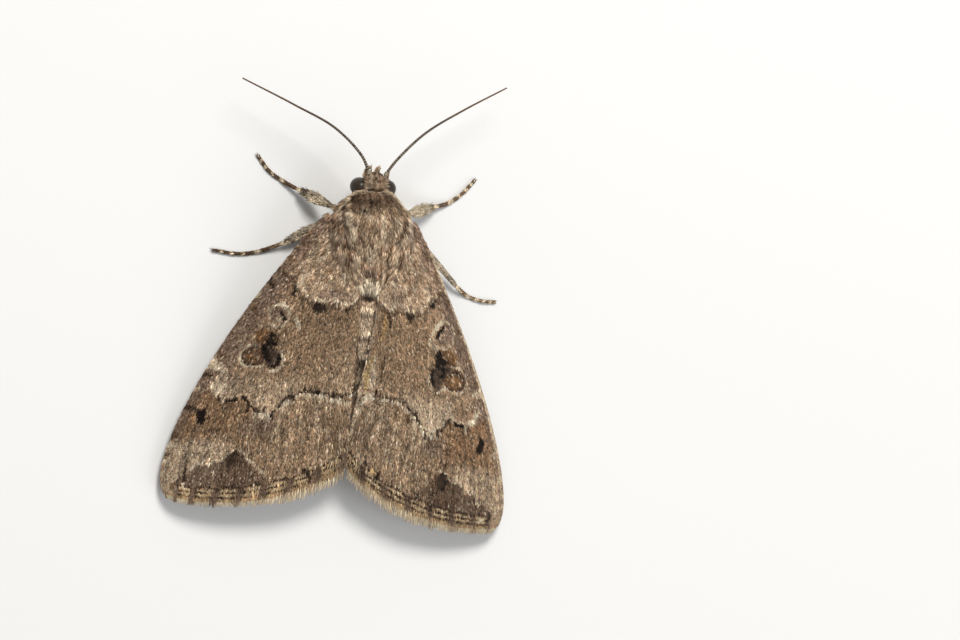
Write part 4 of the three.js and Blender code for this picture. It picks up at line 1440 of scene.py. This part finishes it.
def mark_head(marks, at):
    """The head: buff hairs in a dark brown ground, and a dark line at the neck."""
    x, y, z = at.x, at.y, at.z
    on_head = rise(-0.36, -0.27, y)
    crown = on_head * at.upper
    speck = drift(x * 9 + 30, y * 9 + 40, 65)
    marks["dark"] += crown * (0.30 + 0.70 * rise(0.42, 0.62, speck))
    marks["black"] += crown * 0.35 * rise(0.60, 0.75, speck)
    marks["pale"] += crown * (0.25 * rise(0.5, 0.3, at.fine) + 0.16 * rise(-0.10, -0.45, x))
    marks["grey"] += crown * 0.45
    marks["tone"] *= 1 - 0.16 * crown
    marks["black"] += 0.9 * near(y + 0.27, 0.05, 0.07) * rise(3.9, 4.2, z)
    marks["black"] += 0.6 * near(z - 3.75, 0.10, 0.12) * rise(0.55, 0.8, at.ax) * rise(-0.3, 0.1, y) * on_head


def mark_collar(marks, at):
    """The collar: grey-brown, mottled, behind a narrow pale rim."""
    x, y, ax, upper = at.x, at.y, at.ax, at.upper
    rear = -1.80 - 0.60 * (at.strand - 0.5) - 0.9 * (at.patchy - 0.5)
    collar = rise(-0.60, 0.50, y - rear) * (1 - rise(-0.42, -0.30, y)) * upper * (1 - rise(2.1, 2.6, ax))
    marks["dark"] += collar * (0.72 + 0.35 * rise(0.42, 0.70, at.fine)) * lerp(0.80, 1.0, rise(-1.6, -0.6, y))
    marks["black"] += collar * (0.16 + 0.45 * rise(0.45, 0.70, at.fine))
    marks["pale"] += collar * 0.25 * rise(0.60, 0.85, at.patchy)
    marks["grey"] += collar * 0.35
    to_rim = y - along_line(COLLAR_FRONT, ax)
    rim = near(to_rim, 0.07, 0.08) * rise(0.6, 0.9, ax) * (1 - rise(2.2, 2.7, ax)) * upper
    behind = near(to_rim + 0.22, 0.03, 0.08) * rise(0.9, 1.2, ax) * (1 - rise(1.9, 2.4, ax)) * upper
    marks["black"] += 0.45 * behind
    marks["dark"] *= 1 - 0.75 * rim
    marks["pale"] += 0.22 * rim
    marks["ochre"] += 0.15 * rim
    marks["black"] += 0.50 * spot(x, y, (-0.15, -1.15), (0.45, 0.20), soft=0.8) * upper
    marks["black"] += 0.50 * body_line(x, y, 0.07, ((0.95, -0.65), (1.35, -1.15), (1.75, -1.85))) * upper
    marks["black"] += 0.40 * body_line(x, y, 0.07, ((-0.9, -1.75), (-0.55, -1.95), (-0.25, -1.75))) * upper


def mark_thorax(marks, at):
    """The thorax: tan strands down the middle, grey lappets with dark inner edges, olive at the rear."""
    x, y, ax = at.x, at.y, at.ax
    thorax = between(y, -7.3, -1.9, 0.12) * at.upper
    marks["dark"] += thorax * (0.18 + 0.40 * rise(0.52, 0.76, at.fine))
    marks["grey"] += thorax * (0.32 + 0.26 * rise(1.5, 2.1, ax))
    marks["pale"] += thorax * 0.16 * rise(0.50, 0.80, at.strand) * (1 - rise(1.5, 2.0, ax))
    marks["pale"] += thorax * 0.18 * rise(0.60, 0.85, at.patchy)
    marks["dark"] += thorax * 0.35 * rise(0.55, 0.80, 1 - at.patchy) * rise(1.2, 1.8, ax)
    marks["rust"] += thorax * 0.10 * rise(0.6, 0.85, at.cloud)
    marks["tone"] *= 1 - 0.06 * thorax * rise(-5.6, -4.6, y)
    # Painted lighter towards the wings' roots, against the shade in the crease between the thorax and the
    # wings.
    marks["tone"] *= 1 + 0.55 * thorax * between(ax, 1.15, 2.6, 0.35) * between(y, -6.6, -4.3, 0.4)
    for colour, strength, half_width, points, soft in THORAX_LINES:
        marks[colour] += strength * thorax * body_line(x, y, half_width, points, soft)
    olive = thorax * spot(x, y, (-0.2, -6.0), (0.62, 0.65), soft=0.4)
    marks["grey"] += 0.6 * olive
    marks["dark"] += 0.18 * olive
    marks["pale"] *= 1 - 0.6 * olive


def mark_crest(marks, at):
    """The cream crest at the thorax's rear end, with a dark spot behind it and a dark slit beside it."""
    x, y, upper = at.x, at.y, at.upper
    tuft = spot(x, y, (0.10, -6.84), (1.00, 0.40), soft=0.35) * upper
    marks["pale"] += 1.35 * tuft
    marks["dark"] *= 1 - 0.85 * tuft
    marks["grey"] *= 1 - 0.8 * tuft
    marks["black"] += 0.80 * spot(x, y, (0.25, -7.42), (0.50, 0.22), soft=0.5) * upper
    marks["black"] += 0.95 * body_line(x, y, 0.055, ((1.20, -5.9), (1.08, -6.3), (1.0, -6.7)), 0.04) * upper


def mark_abdomen(marks, at):
    """The abdomen: grey, each ring with a cream hind edge, darker to the rear with painted shadow in the gap
    between the wings; and the buff underside.
    """
    y, under = at.y, 1 - at.upper
    back = rise(-7.25, -7.5, y) * at.upper
    ring = ring_share(y)
    hind_edge = np.maximum(near(ring - 1.0, 0.04, 0.05), near(ring, 0.03, 0.05))
    dusk = 0.10 + 0.30 * near(ring - 0.24, 0.06, 0.10) + 0.25 * rise(-9.0, -11.0, y)
    marks["grey"] += back * 0.60 * (1 - hind_edge)
    marks["dark"] += back * dusk * (1 - hind_edge)
    marks["pale"] += back * (0.42 * hind_edge + 0.24 - 0.20 * rise(-8.4, -8.1, y))
    # Painted shadow on the abdomen's rear, in the gap between the wings.
    shade = rise(-11.5, -12.3, y) * at.upper
    marks["pale"] *= 1 - shade
    marks["black"] += 0.75 * shade
    marks["pale"] += under * (0.35 + 0.3 * at.fine)
    marks["dark"] += under * 0.3 * rise(0.65, 0.85, at.cloud)


def body_marks(p):
    """Markings of head, thorax and abdomen at places p."""
    at = body_places(p)
    marks = blank_marks(len(p))
    marks["tone"] = 1 + 0.34 * (at.cloud - 0.5) + 0.25 * (at.fine - 0.5) + 0.32 * (at.strand - 0.5)
    for mark in (mark_head, mark_collar, mark_thorax, mark_crest, mark_abdomen):
        mark(marks, at)
    return within_bounds(marks)


def flow_on_body(p, normal):
    """The way the hair lies at places p: rearwards, outwards on the collar, forwards on the head."""
    x, y, z = p.T
    one = np.ones(len(p))
    aside = 0.10 * np.sign(x) * rise(0.6, 1.6, np.abs(x))
    aside += 0.45 * between(y, -2.2, -0.30, 0.12) * rise(2.8, 3.6, z) * np.clip(x / 1.4, -1, 1)
    aside -= 0.25 * rise(-5.4, -6.6, y) * np.clip(x, -1, 1) * rise(-7.6, -7.2, y)
    back = np.stack([aside, -one, 0 * one], -1)
    forward = np.stack([0.7 * x, one, 0.10 * one], -1)
    down_face = np.stack([-0.2 * x, 0.35 * one, -one], -1)
    up_palp = np.stack([0 * one, 0.1 * one, one], -1)
    on_head = rise(-0.34, -0.26, y)[:, None]
    on_crown = rise(3.7, 4.3, z)[:, None]
    on_palp = (rise(0.75, 0.9, y) * (1 - rise(3.5, 3.9, z)))[:, None]
    head = lerp(lerp(down_face, forward, on_crown), up_palp, on_palp)
    return laid_flat(lerp(back, head, on_head), normal)


def body_bake_uv(p):
    """The skin opened out round the body's long axis."""
    turn = np.arctan2(p[:, 2] - 2.9, p[:, 0]) / (2 * np.pi) + 0.5
    return bake_place(np.clip((1.6 - p[:, 1]) / 19.6, 0, 1), turn)


def add_body_hair(name, skin, gap, tuft, keep, shape_at, rng):
    place, normal = scatter(*skin, gap, rng, keep)
    along = swing(flow_on_body(place, normal), normal, 0.16, rng)
    length, width, lift, curl = shape_at(place)
    length = length * (0.75 + 0.5 * rng.random(len(place)))
    along, apart, own = tufted(place, along, normal, length, tuft, 0.55, rng)
    marks = body_marks(place + along * length[:, None] * 0.6)
    marks = flecked(marks, rng, spread=0.22, light=0.05, deep=0.10)
    marks["tone"] = marks["tone"] * tuft_shade(apart, own)
    sizes = (length, width, lift * lerp(0.75, 1.35, own), curl)
    add_blades(
        name, LOCK, (place - normal * 0.02, along, normal), sizes, marks, body_bake_uv(place), BODY_HAIR,
    )


def add_bundles(name, bundles, rng):
    """Loose tufts: each is (root, direction, number, length, root spread, direction spread, width, marks)."""
    roots, along, length, width, marks = [], [], [], [], []
    for root, direction, number, long, at_root, fan, wide, paint in bundles:
        roots.append(np.array(root) + at_root * rng.standard_normal((number, 3)))
        along.append(unit(unit(np.array(direction, float)) + fan * rng.standard_normal((number, 3))))
        length.append(long * (0.7 + 0.5 * rng.random(number)))
        width.append(np.full(number, wide))
        own = blank_marks(number)
        for key, value in paint.items():
            own[key] += value * (0.7 + 0.6 * rng.random(number))
        marks.append(own)
    roots, along, length, width = (np.concatenate(part) for part in (roots, along, length, width))
    marks = {key: np.clip(values, 0, 1.6) for key, values in joined_marks(marks).items()}
    up = unit(np.cross(along, np.cross([0.0, 0.3, 1.0], along)))
    sizes = (length, width, 0.0, -0.08)
    add_blades(name, LOCK, (roots, along, up), sizes, marks, body_bake_uv(roots), BODY_HAIR)


# ------------------------------------------------------------------ legs
LEGS = {  # (hip, knee, ankle, half thickness of the calf, places x, y of the foot's joints)
    "front_left": ((-0.8, -2.2, 1.9), (-2.4, -1.6, 2.05), (-4.35, -0.72, 0.62), 0.30,
                   ((-5.55, -0.15), (-6.5, 0.42), (-7.4, 1.42))),
    "front_right": ((0.8, -2.2, 1.9), (2.75, -1.75, 2.05), (4.95, -1.05, 0.62), 0.30,
                    ((6.05, -0.7), (6.92, -0.05), (7.82, 1.02))),
    "mid_left": ((-0.9, -4.2, 1.35), (-2.45, -2.55, 1.45), (-5.15, -4.3, 0.6), 0.25,
                 ((-6.85, -5.06), (-8.3, -5.32), (-9.95, -5.22))),
    "mid_right": ((0.9, -4.2, 1.35), (3.95, -3.5, 1.5), (7.0, -6.25, 0.6), 0.17,
                  ((7.95, -6.85), (8.9, -7.12), (9.9, -7.12))),
    "hind_left": ((-0.9, -5.7, 1.4), (-3.1, -7.2, 1.5), (-4.6, -11.6, 0.6), 0.24,
                  ((-4.95, -13.2), (-5.2, -14.8), (-5.4, -16.4))),
    "hind_right": ((0.9, -5.7, 1.4), (3.1, -7.2, 1.5), (4.5, -11.7, 0.6), 0.24,
                   ((4.85, -13.3), (5.05, -14.9), (5.2, -16.5))),
}
LEG_ROWS = {"femur": 30, "tibia": 40, "tarsus": 90}  # faces along each length of a leg
SHIN = 0.16  # half thickness of the tibia at its ends
TARSUS_JOINTS = (0.0, 0.38, 0.57, 0.73, 0.87, 1.0)
TARSUS_DARK = {"front_right": 0.75, "mid_right": 0.40}  # how dark the joints are, where paler than usual
TIBIA_BARS = ((0.12, 0.09), (0.46, 0.08), (0.80, 0.09))  # (share of the length, reach)
FOOT_HEIGHT = 0.13
SPUR_PLACES = {"front": (), "mid": (1.0,), "hind": (0.62, 1.0)}  # shares of the tibia
SPUR_LENGTH, SPUR_DROP = 0.8, 0.05


def tarsus_share(u):
    """Which joint of the foot, and how far along it."""
    at = np.clip(np.searchsorted(TARSUS_JOINTS, u, side="right") - 1, 0, 4)
    low = np.take(TARSUS_JOINTS, at)
    return at, (u - low) / (np.take(TARSUS_JOINTS, at + 1) - low)


def leg_lengths(places):
    """The three lengths of a leg as {name: surface}."""
    hip, knee, ankle, calf, tarsus = places
    toes = [ankle, *((x, y, FOOT_HEIGHT) for x, y in tarsus)]

    def calf_radius(u):
        return (SHIN + (calf - SHIN) * np.sin(np.pi * u) ** 1.5 - 0.03 * u) * rounded(u)

    def foot_radius(u):
        _, k = tarsus_share(u)
        return (0.125 - 0.035 * u) * (0.86 + 0.2 * k**2) * rounded(u, 40)

    return {
        "femur": tube((hip, knee), lambda u: lerp(0.27, 0.19, u) * rounded(u)),
        "tibia": tube((knee, ankle), calf_radius),
        "tarsus": tube(toes, foot_radius),
    }


def mark_tarsus(marks, leg, u):
    """Each joint of the foot is dark with pale ends."""
    joint, k = tarsus_share(u)
    right = 0.06 * leg.endswith("right")
    depth = TARSUS_DARK.get(leg, 0.9)
    marks["pale"] = 0.70 * (1 - rise(0.08 + right, 0.16 + right, k))
    marks["pale"] += 0.85 * rise(0.82 - right, 0.90 - right, k)
    marks["dark"] = depth * between(k, 0.15 + right, 0.84 - right, 0.05)
    if leg == "mid_left":
        plain = (joint == 0) * (1 - rise(0.40, 0.60, k))
        marks["dark"] *= 1 - 0.75 * plain
        marks["grey"] += 0.35 * plain
    marks["black"] = 0.08 * depth * marks["dark"]
    marks["rust"] = 0.15 * between(k, 0.20, 0.80, 0.1)


def mark_tibia(marks, leg, u, v, fine):
    """The tibia is pale grey-buff with three dark bars."""
    marks["pale"] = 0.34 + 0.4 * rise(0.4, 0.7, fine) - 0.12 * leg.startswith("hind")
    marks["grey"] += 0.10 + 0.20 * leg.startswith("mid")
    strength = 1.0 if leg == "front_left" else 0.6
    for at, reach in TIBIA_BARS:
        ragged = rise(0.28, 0.40, drift(u * 9 + at * 30, v * 4 + 5, 72))
        marks["dark"] += strength * near(u - at, reach, 0.03) * ragged
    marks["black"] += 0.6 * marks["dark"] * strength


def leg_marks(leg, length, u, v):
    marks = blank_marks(len(u))
    fine = drift(u * 14 + 3 * len(leg), v * 5 + 9, 71)
    if length == "tarsus":
        mark_tarsus(marks, leg, u)
    elif length == "tibia":
        mark_tibia(marks, leg, u, v, fine)
    else:
        marks["pale"] = 0.3 * fine
        marks["dark"] = 0.35 * rise(0.5, 0.8, fine)
    marks["tone"] = 1 + 0.3 * (fine - 0.5)
    return {key: np.clip(values, 0, 1.5) for key, values in marks.items()}


def leg_scales(leg, length, surface, bake_row, rng):
    """The scales of one length of a leg, standing off in a fringe along the tibia."""
    u, v = spread_over(surface, 0.075, 0.085, rng, (0.02, 0.98))
    roots, along, up = frames_on(surface, u, v, facing=surface(u, v) - surface(u, v + 0.5))
    count = len(u)
    long = (0.20 if length == "tarsus" else 0.26) * (0.8 + 0.4 * rng.random(count))
    lift = np.full(count, 0.16)
    if length == "tibia":
        loose = 0.25 if leg == "mid_right" else 1.0
        edge = loose * rise(0.5, 0.95, np.abs(np.sin(2 * np.pi * v))) * rise(0.1, 0.35, u)
        long = long + 0.24 * edge * rng.random(count)
        lift = lift + 0.40 * edge * rng.random(count)
    stray = 0.02 if length == "tarsus" else 0.07
    marks = flecked(leg_marks(leg, length, u, v), rng, 0.12, stray, stray)
    along = swing(along, up, 0.15, rng)
    return roots, along, up, long, lift, bake_place((bake_row + 0.3 * v) / 6, u), marks


def leg_spurs(leg, surface):
    """The pairs of spurs on a leg's tibia, sloping out and down from it."""
    spurs = []
    for at in SPUR_PLACES[leg.split("_")[0]]:
        for turn in (0.2, 0.8):
            root, along, _ = frames_on(surface, np.array([at * 0.985]), np.array([turn]))
            outwards = surface(0.9, turn) - surface(0.9, turn + 0.5)
            way = unit(along[0] + 1.2 * outwards)
            middle = root[0] + way * 0.45
            tip = root[0] + way * SPUR_LENGTH - UP * SPUR_DROP
            spurs.append(tube((root[0], middle, tip), lambda u: 0.065 * (1 - 0.8 * u**2) * rounded(u, 30)))
    return spurs


def leg_claws(surface):
    """The two hooked claws at the tip of a foot."""
    tip = surface(1.0, 0.0)
    way = unit(tip - surface(0.93, 0.0))
    beside = np.array([-way[1], way[0], 0.0])
    claws = []
    for hand in (-1, 1):
        hook = [
            tip + way * ahead + beside * hand * aside - UP * drop
            for ahead, aside, drop in ((-0.04, 0, 0.04), (0.10, 0.06, 0), (0.19, 0.10, 0.04), (0.21, 0.11, 0))
        ]
        hook[-1][2] = 0.02
        claws.append(tube(hook, lambda u: 0.032 * (1 - 0.85 * u)))
    return claws


def add_legs(rng):
    """Scales, spurs and claws of the legs. Returns the legs' skins, to be joined to the body's."""
    skins, scales, spurs, claws = [], [], [], []
    for number, (leg, places) in enumerate(LEGS.items()):
        for part, (length, surface) in enumerate(leg_lengths(places).items()):
            points, faces, u, v = closed_tube(surface, LEG_ROWS[length], 16)
            skins.append((points, faces, leg_marks(leg, length, u, v)))
            scales.append(leg_scales(leg, length, surface, number + part * 0.3, rng))
            if length == "tibia":
                spurs += leg_spurs(leg, surface)
            if length == "tarsus":
                claws += leg_claws(surface)
    *columns, marks = zip(*scales)
    roots, along, up, long, lift, bake = (np.concatenate(column) for column in columns)
    add_blades(
        "leg_scales", SCALE, (roots, along, up), (long, 0.10, lift, 0.0), joined_marks(marks), bake,
        LEG_SCALES,
    )
    for name, forms, rows, pale, material in (
        ("leg_claws", claws, 10, 0.0, CLAW_HORN), ("leg_spurs", spurs, 14, 0.5, LEG_SCALES)
    ):
        points, faces = joined([closed_tube(form, rows, 8)[:2] for form in forms])
        marks = blank_marks(len(points))
        marks["pale"] += pale
        add_mesh(name, points, faces, material, marks)
    return skins


# ------------------------------------------------------------------ head parts
FEELERS = {
    "left": ((-0.52, 0.72, 4.25), (-1.2, 1.9, 4.55), (-3.15, 3.65, 4.3), (-6.0, 5.0, 3.7), (-9.65, 6.5, 3.3)),
    "right": ((0.52, 0.72, 4.25), (1.2, 1.85, 4.55), (3.08, 3.83, 4.3), (5.74, 5.62, 3.7), (8.75, 7.42, 3.3)),
}
FEELER_BEADS = 62
FEELER_FOOT = 0.03  # share of the feeler that its thicker first joint takes up


def add_feeler(side):
    def radius(u):
        bead = (u * FEELER_BEADS) % 1
        shaft = lerp(0.105, 0.05, u) * (0.86 + 0.22 * np.sin(np.pi * bead) ** 0.7)
        foot = 0.15 * rounded(np.clip(u / FEELER_FOOT, 0, 1), 4)
        return np.where(u < FEELER_FOOT, foot, shaft) * rounded(u, 200)

    surface = tube(FEELERS[side], radius, count=400)
    points, faces, u, v = closed_tube(surface, FEELER_BEADS * 4 + 1, 10)
    marks = blank_marks(len(points))
    bead = (u * FEELER_BEADS) % 1
    on_top = 0.4 + 0.6 * np.clip(np.cos(2 * np.pi * v), 0, 1)
    marks["pale"] = 0.38 * near(bead - 0.1, 0.08, 0.08) * (1 - rise(0.15, 0.5, u)) * on_top
    marks["pale"] += 0.12 * (u < FEELER_FOOT)
    marks["rust"] = 0.12 * rise(0.3, 0.9, u)
    feeler = add_mesh(f"feeler_{side}", points, faces, FEELER_SHELL, marks)
    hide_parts(f"antenna_{side}_base", f"antenna_{side}_tip")


def add_eye(side):
    centre = EYE_CENTRE * [MIRROR[side], 1, 1]
    points, faces, _, _ = closed_tube(egg(centre, EYE_RADII), 64, 72)
    eye = add_mesh(f"eye_{side}_ball", points, faces, EYE_GLOSS)
    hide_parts(f"eye_{side}")


# ------------------------------------------------------------------ the body put together
# Where the hair of each part starts or ends, as y
HEAD_END, COLLAR_START, COLLAR_END, THORAX_END, ABDOMEN_START = -0.30, -0.28, -1.9, -7.45, -7.3
LAPPET_HAIRS = 5200


def outside_eyes(p):
    clear = np.ones(len(p))
    for mirror in MIRROR.values():
        reach = (((p - EYE_CENTRE * [mirror, 1, 1]) / (EYE_RADII + 0.02)) ** 2).sum(-1)
        clear *= reach > 1
    return clear


def head_hair(p):
    """Length, width, lift and curl of the hair at places p of the head."""
    crown = rise(3.9, 4.3, p[:, 2])
    palp = rise(0.8, 0.95, p[:, 1])
    return lerp(0.20, 0.25, crown) - 0.06 * palp, 0.048, lerp(0.20, 0.34, crown) * (1 - 0.6 * palp), -0.1


def thorax_hair(p):
    x, y, z = p.T
    upper = rise(2.8, 3.6, z)
    collar = between(y, -2.0, -0.4, 0.2) * upper
    crest = spot(x, y, (0, -6.6), (1.1, 0.8), soft=0.6) * upper
    length = (0.52 - 0.14 * collar + 0.08 * crest) * lerp(1.1, 1.0, upper)
    return length, 0.070, 0.26 + 0.22 * crest + 0.04 * collar, -0.14


def abdomen_hair(p):
    y = p[:, 1]
    band = near(ring_share(y) - 0.90, 0.08, 0.08)
    return 0.36 + 0.18 * band + 0.25 * rise(-16.6, -17.5, y), 0.09, 0.16 + 0.20 * band, -0.05


def fur(k, dark, more_dark, pale, grey=0.3):
    """The marks of the k-th tuft of a row: every third one paler, the next one darker."""
    return {"dark": dark + more_dark * (k % 3 == 1), "pale": pale * (k % 3 == 0), "grey": grey}


def head_bundles():
    """Loose tufts at the feelers' feet, on the palps' tips, over the eyes and along the brow."""
    scape, beak = {"dark": 0.60, "ochre": 0.15}, {"dark": 0.45, "pale": 0.2}
    for side, m in MIRROR.items():
        reach = {"left": 0.55, "right": 0.72}[side]
        yield (m * 0.76, 0.52, 4.08), (m * 0.10, 1.0, 0.25), 30, reach, 0.030, 0.03, 0.04, scape
        yield (m * 0.27 - 0.04, 0.90, 3.70), (0, 1.0, 0.18), 24, 0.52, 0.020, 0.03, 0.035, beak
        for k in range(15):
            root = (m * 0.52, -0.36 + 0.065 * k, 4.14)
            yield root, (m, 0.10, 0.16), 14, 0.32, 0.04, 0.16, 0.045, fur(k, 0.30, 0.35, 0.22)
    for k in range(14):
        x = -0.60 + 0.092 * k
        yield (x, 0.50, 4.18), (0.30 * x, 1.0, 0.16), 14, 0.17, 0.05, 0.22, 0.040, fur(k, 0.40, 0.25, 0.18)


def collar_bundles(side, path):
    """Tufts along the collar's rim, lying outwards: a dark row behind and a pale one on it."""
    reach, *course = np.abs(np.array(path)[:, 0]), *np.array(path).T
    for k, step in enumerate(np.arange(0.04, reach[-1], 0.07)):
        here, ahead = (np.array([np.interp(x, reach, line) for line in course]) for x in (step, step + 0.12))
        outer = rise(0.45, 0.95, step)
        behind = here - np.array([MIRROR[side] * 0.10, 0.12, 0.08])
        dark = {"dark": 0.55, "grey": 0.35, "pale": 0.15 * (k % 2)}
        yield behind, ahead - here + [0, -0.05, 0], int(12 * outer) + 2, 0.34, 0.07, 0.30, 0.050, dark
        light = {
            "pale": 0.12 + 0.20 * outer + 0.2 * (k % 3 == 0), "ochre": 0.12, "grey": 0.25,
            "dark": 0.45 - 0.35 * outer + 0.35 * (k % 4 == 1),
        }
        yield here, ahead - here, int(lerp(4, 10, outer)), 0.28, lerp(0.02, 0.05, outer), 0.22, 0.040, light


def add_body():
    """The skin of body, palps and legs, and its hair."""
    rng = np.random.default_rng(7)
    forms = [
        (trunk(THORAX, HAIR_DEPTH["thorax"], thorax_swell), 60, 64),
        (trunk(ABDOMEN, HAIR_DEPTH["abdomen"], abdomen_swell), 120, 48),
        *((egg(centre, radii), 32, 32) for centre, radii in HEAD_EGGS),
    ]
    for m in MIRROR.values():
        path = [(m * x, y, z) for x, y, z in PALP_PATH]
        forms.append((tube(path, lambda u: lerp(0.20, 0.12, u) * rounded(u, 10)), 40, 16))
    skin = fused(forms, SKIN_VOXEL)
    skins = [(*skin, body_marks(skin[0])), *add_legs(rng)]
    points, faces = joined([own[:2] for own in skins])
    marks = joined_marks([own[2] for own in skins])
    body = add_mesh("body_skin", points, faces, BODY_SKIN, marks)
    lengths = [f"leg_{leg}_{length}" for leg in LEGS for length in ("femur", "tibia", "tarsus")]
    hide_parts("thorax", "head", "abdomen", "palp_left", "palp_right", *lengths)

    def on_head(p):
        return (p[:, 1] > HEAD_END) * outside_eyes(p)

    def reaching(front, rear):
        return lambda p: 1.0 * ((p[:, 1] <= front) & (p[:, 1] > rear))

    for name, gap, tuft, keep, shape_at in (
        ("head_hair", 0.050, 0.20, on_head, head_hair),
        ("collar_hair", 0.072, 0.30, reaching(COLLAR_START, COLLAR_END), thorax_hair),
        ("thorax_hair", 0.076, 0.42, reaching(COLLAR_END, THORAX_END), thorax_hair),
        ("abdomen_hair", 0.10, 0.30, reaching(ABDOMEN_START, -math.inf), abdomen_hair),
    ):
        add_body_hair(name, skin, gap, tuft, keep, shape_at, rng)
    rims = [tuft for side, path in COLLAR_RIM.items() for tuft in collar_bundles(side, path)]
    add_bundles("head_tufts", [*head_bundles(), *rims], rng)


def add_lappet_hair():
    """Tufted hair of the lappets and the thorax's sides, lying back over the wings' roots."""
    rng = np.random.default_rng(8)
    shell = trunk(THORAX, HAIR_DEPTH["lappets"], thorax_swell)
    for side, m in MIRROR.items():
        y_share = rng.random(LAPPET_HAIRS)
        u = np.clip(lerp(0.25, 0.84, y_share) + 0.045 * rng.standard_normal(LAPPET_HAIRS), 0.20, 0.86)
        angle = lerp(8, 66, rng.random(LAPPET_HAIRS))
        v = np.where(m > 0, angle, 180 - angle) / 360
        here, back, _ = frames_on(shell, u, v)
        normal = laid_flat(unit(here - shell(u, v + 0.5)), back)
        fan = m * (0.42 - 0.5 * rise(36, 66, angle)) + 0.27 * rng.standard_normal(LAPPET_HAIRS)
        way = laid_flat(unit(back + fan[:, None] * np.array([1.0, 0, 0])), normal)
        length = lerp(0.55, 0.85, rise(0.3, 1.0, y_share)) * (0.7 + 0.6 * rng.random(LAPPET_HAIRS))
        way, apart, own = tufted(here, way, normal, length, 0.36, 0.55, rng)
        marks = body_marks(here + way * length[:, None] * 0.35)
        marks = flecked(marks, rng, spread=0.22, light=0.05, deep=0.12)
        # Hairs low on the thorax's sides painted lighter, against the shade that falls there.
        marks["tone"] = marks["tone"] * tuft_shade(apart, own) * lerp(1.15, 1.0, rise(12, 40, angle))
        add_blades(
            f"lappet_hair_{side}", LOCK, (here, way, normal), (length, 0.085, 0.10 + 0.25 * own, -0.14),
            marks, body_bake_uv(here), BODY_HAIR,
        )


for wing in MIRROR:
    add_forewing(wing)
    add_hindwing(wing)
    add_feeler(wing)
    add_eye(wing)
add_body()
add_lappet_hair()


# ------------------------------------------------------------------ floor, light and camera
FLOOR_REACH = 3.0
FLOOR_COLOUR, FLOOR_ROUGHNESS = (0.60, 0.60, 0.595, 1), 0.8
VIEW_TILT = math.radians(14)  # the camera stands over the moth's left side
VIEW_ROLL = math.radians(4.8)
PICTURE_WIDTH = 64.86
AIM = np.array([0, 0, 3.8])
AIM_SHIFT = (7.12, -9.05)  # from the aim to the picture's middle, across and up
STUDIO_COLOUR, STUDIO_STRENGTH = (0.98, 0.985, 1.0, 1), 0.50


def moth_place(place):
    return (np.asarray(place, float) + SHIFT) * MM


def add_floor():
    mesh = bpy.data.meshes.new("floor")
    corners = [(FLOOR_REACH * x, FLOOR_REACH * y, 0) for x, y in ((-1, -1), (1, -1), (1, 1), (-1, 1))]
    mesh.from_pydata(corners, [], [(0, 1, 2, 3)])
    finish = {"Base Color": FLOOR_COLOUR, "Roughness": FLOOR_ROUGHNESS}
    mesh.materials.append(new_material("pale floor", finish)[0])
    floor = placed("floor", mesh)


def set_down(thing, across, upright, back, place):
    """Puts a camera or lamp at a place, looking against back."""
    matrix = np.eye(4)
    for column, axis in enumerate((across, upright, back, place)):
        matrix[:3, column] = axis
    thing.matrix_world = Matrix(matrix.tolist())


def add_camera():
    lens = bpy.data.cameras.new("camera")
    lens.lens = 400
    lens.sensor_width = 36
    lens.clip_start = 0.005
    camera = placed("camera", lens)
    tilt_cos, tilt_sin = math.cos(VIEW_TILT), math.sin(VIEW_TILT)
    roll_cos, roll_sin = math.cos(VIEW_ROLL), math.sin(VIEW_ROLL)
    across = np.array([tilt_cos * roll_cos, roll_sin, tilt_sin * roll_cos])
    upright = np.array([-tilt_cos * roll_sin, roll_cos, -tilt_sin * roll_sin])
    back = np.array([-tilt_sin, 0, tilt_cos])
    middle = AIM + across * AIM_SHIFT[0] + upright * AIM_SHIFT[1]
    distance = PICTURE_WIDTH * lens.lens / lens.sensor_width
    set_down(camera, across, upright, back, moth_place(middle + back * distance))
    bpy.context.scene.camera = camera


def add_light(name, offset, size, watts, colour):
    """A round lamp at an offset in metres from the moth's middle, shining on it."""
    lamp = bpy.data.lights.new(name, "AREA")
    lamp.shape = "DISK"
    lamp.size = size
    lamp.energy = watts
    lamp.color = colour
    light = placed(name, lamp)
    back = unit(np.array(offset))
    across = unit(np.cross([0, 1, 0.2], back))
    set_down(light, across, np.cross(back, across), back, moth_place((0, -10, 3)) + offset)


def add_studio():
    scene = bpy.context.scene
    scene.view_settings.view_transform = "Standard"
    world = bpy.data.worlds.new("studio")
    world.use_nodes = True
    sky = world.node_tree.nodes["Background"]
    sky.inputs["Color"].default_value = STUDIO_COLOUR
    sky.inputs["Strength"].default_value = STUDIO_STRENGTH
    scene.world = world


add_floor()
add_camera()
add_light("key light", (0.02, 0.27, 0.37), 0.18, 2.35, (1.0, 0.975, 0.93))
add_light("fill light", (0.30, -0.18, 0.30), 0.40, 0.9, (0.97, 0.985, 1.0))
add_studio()
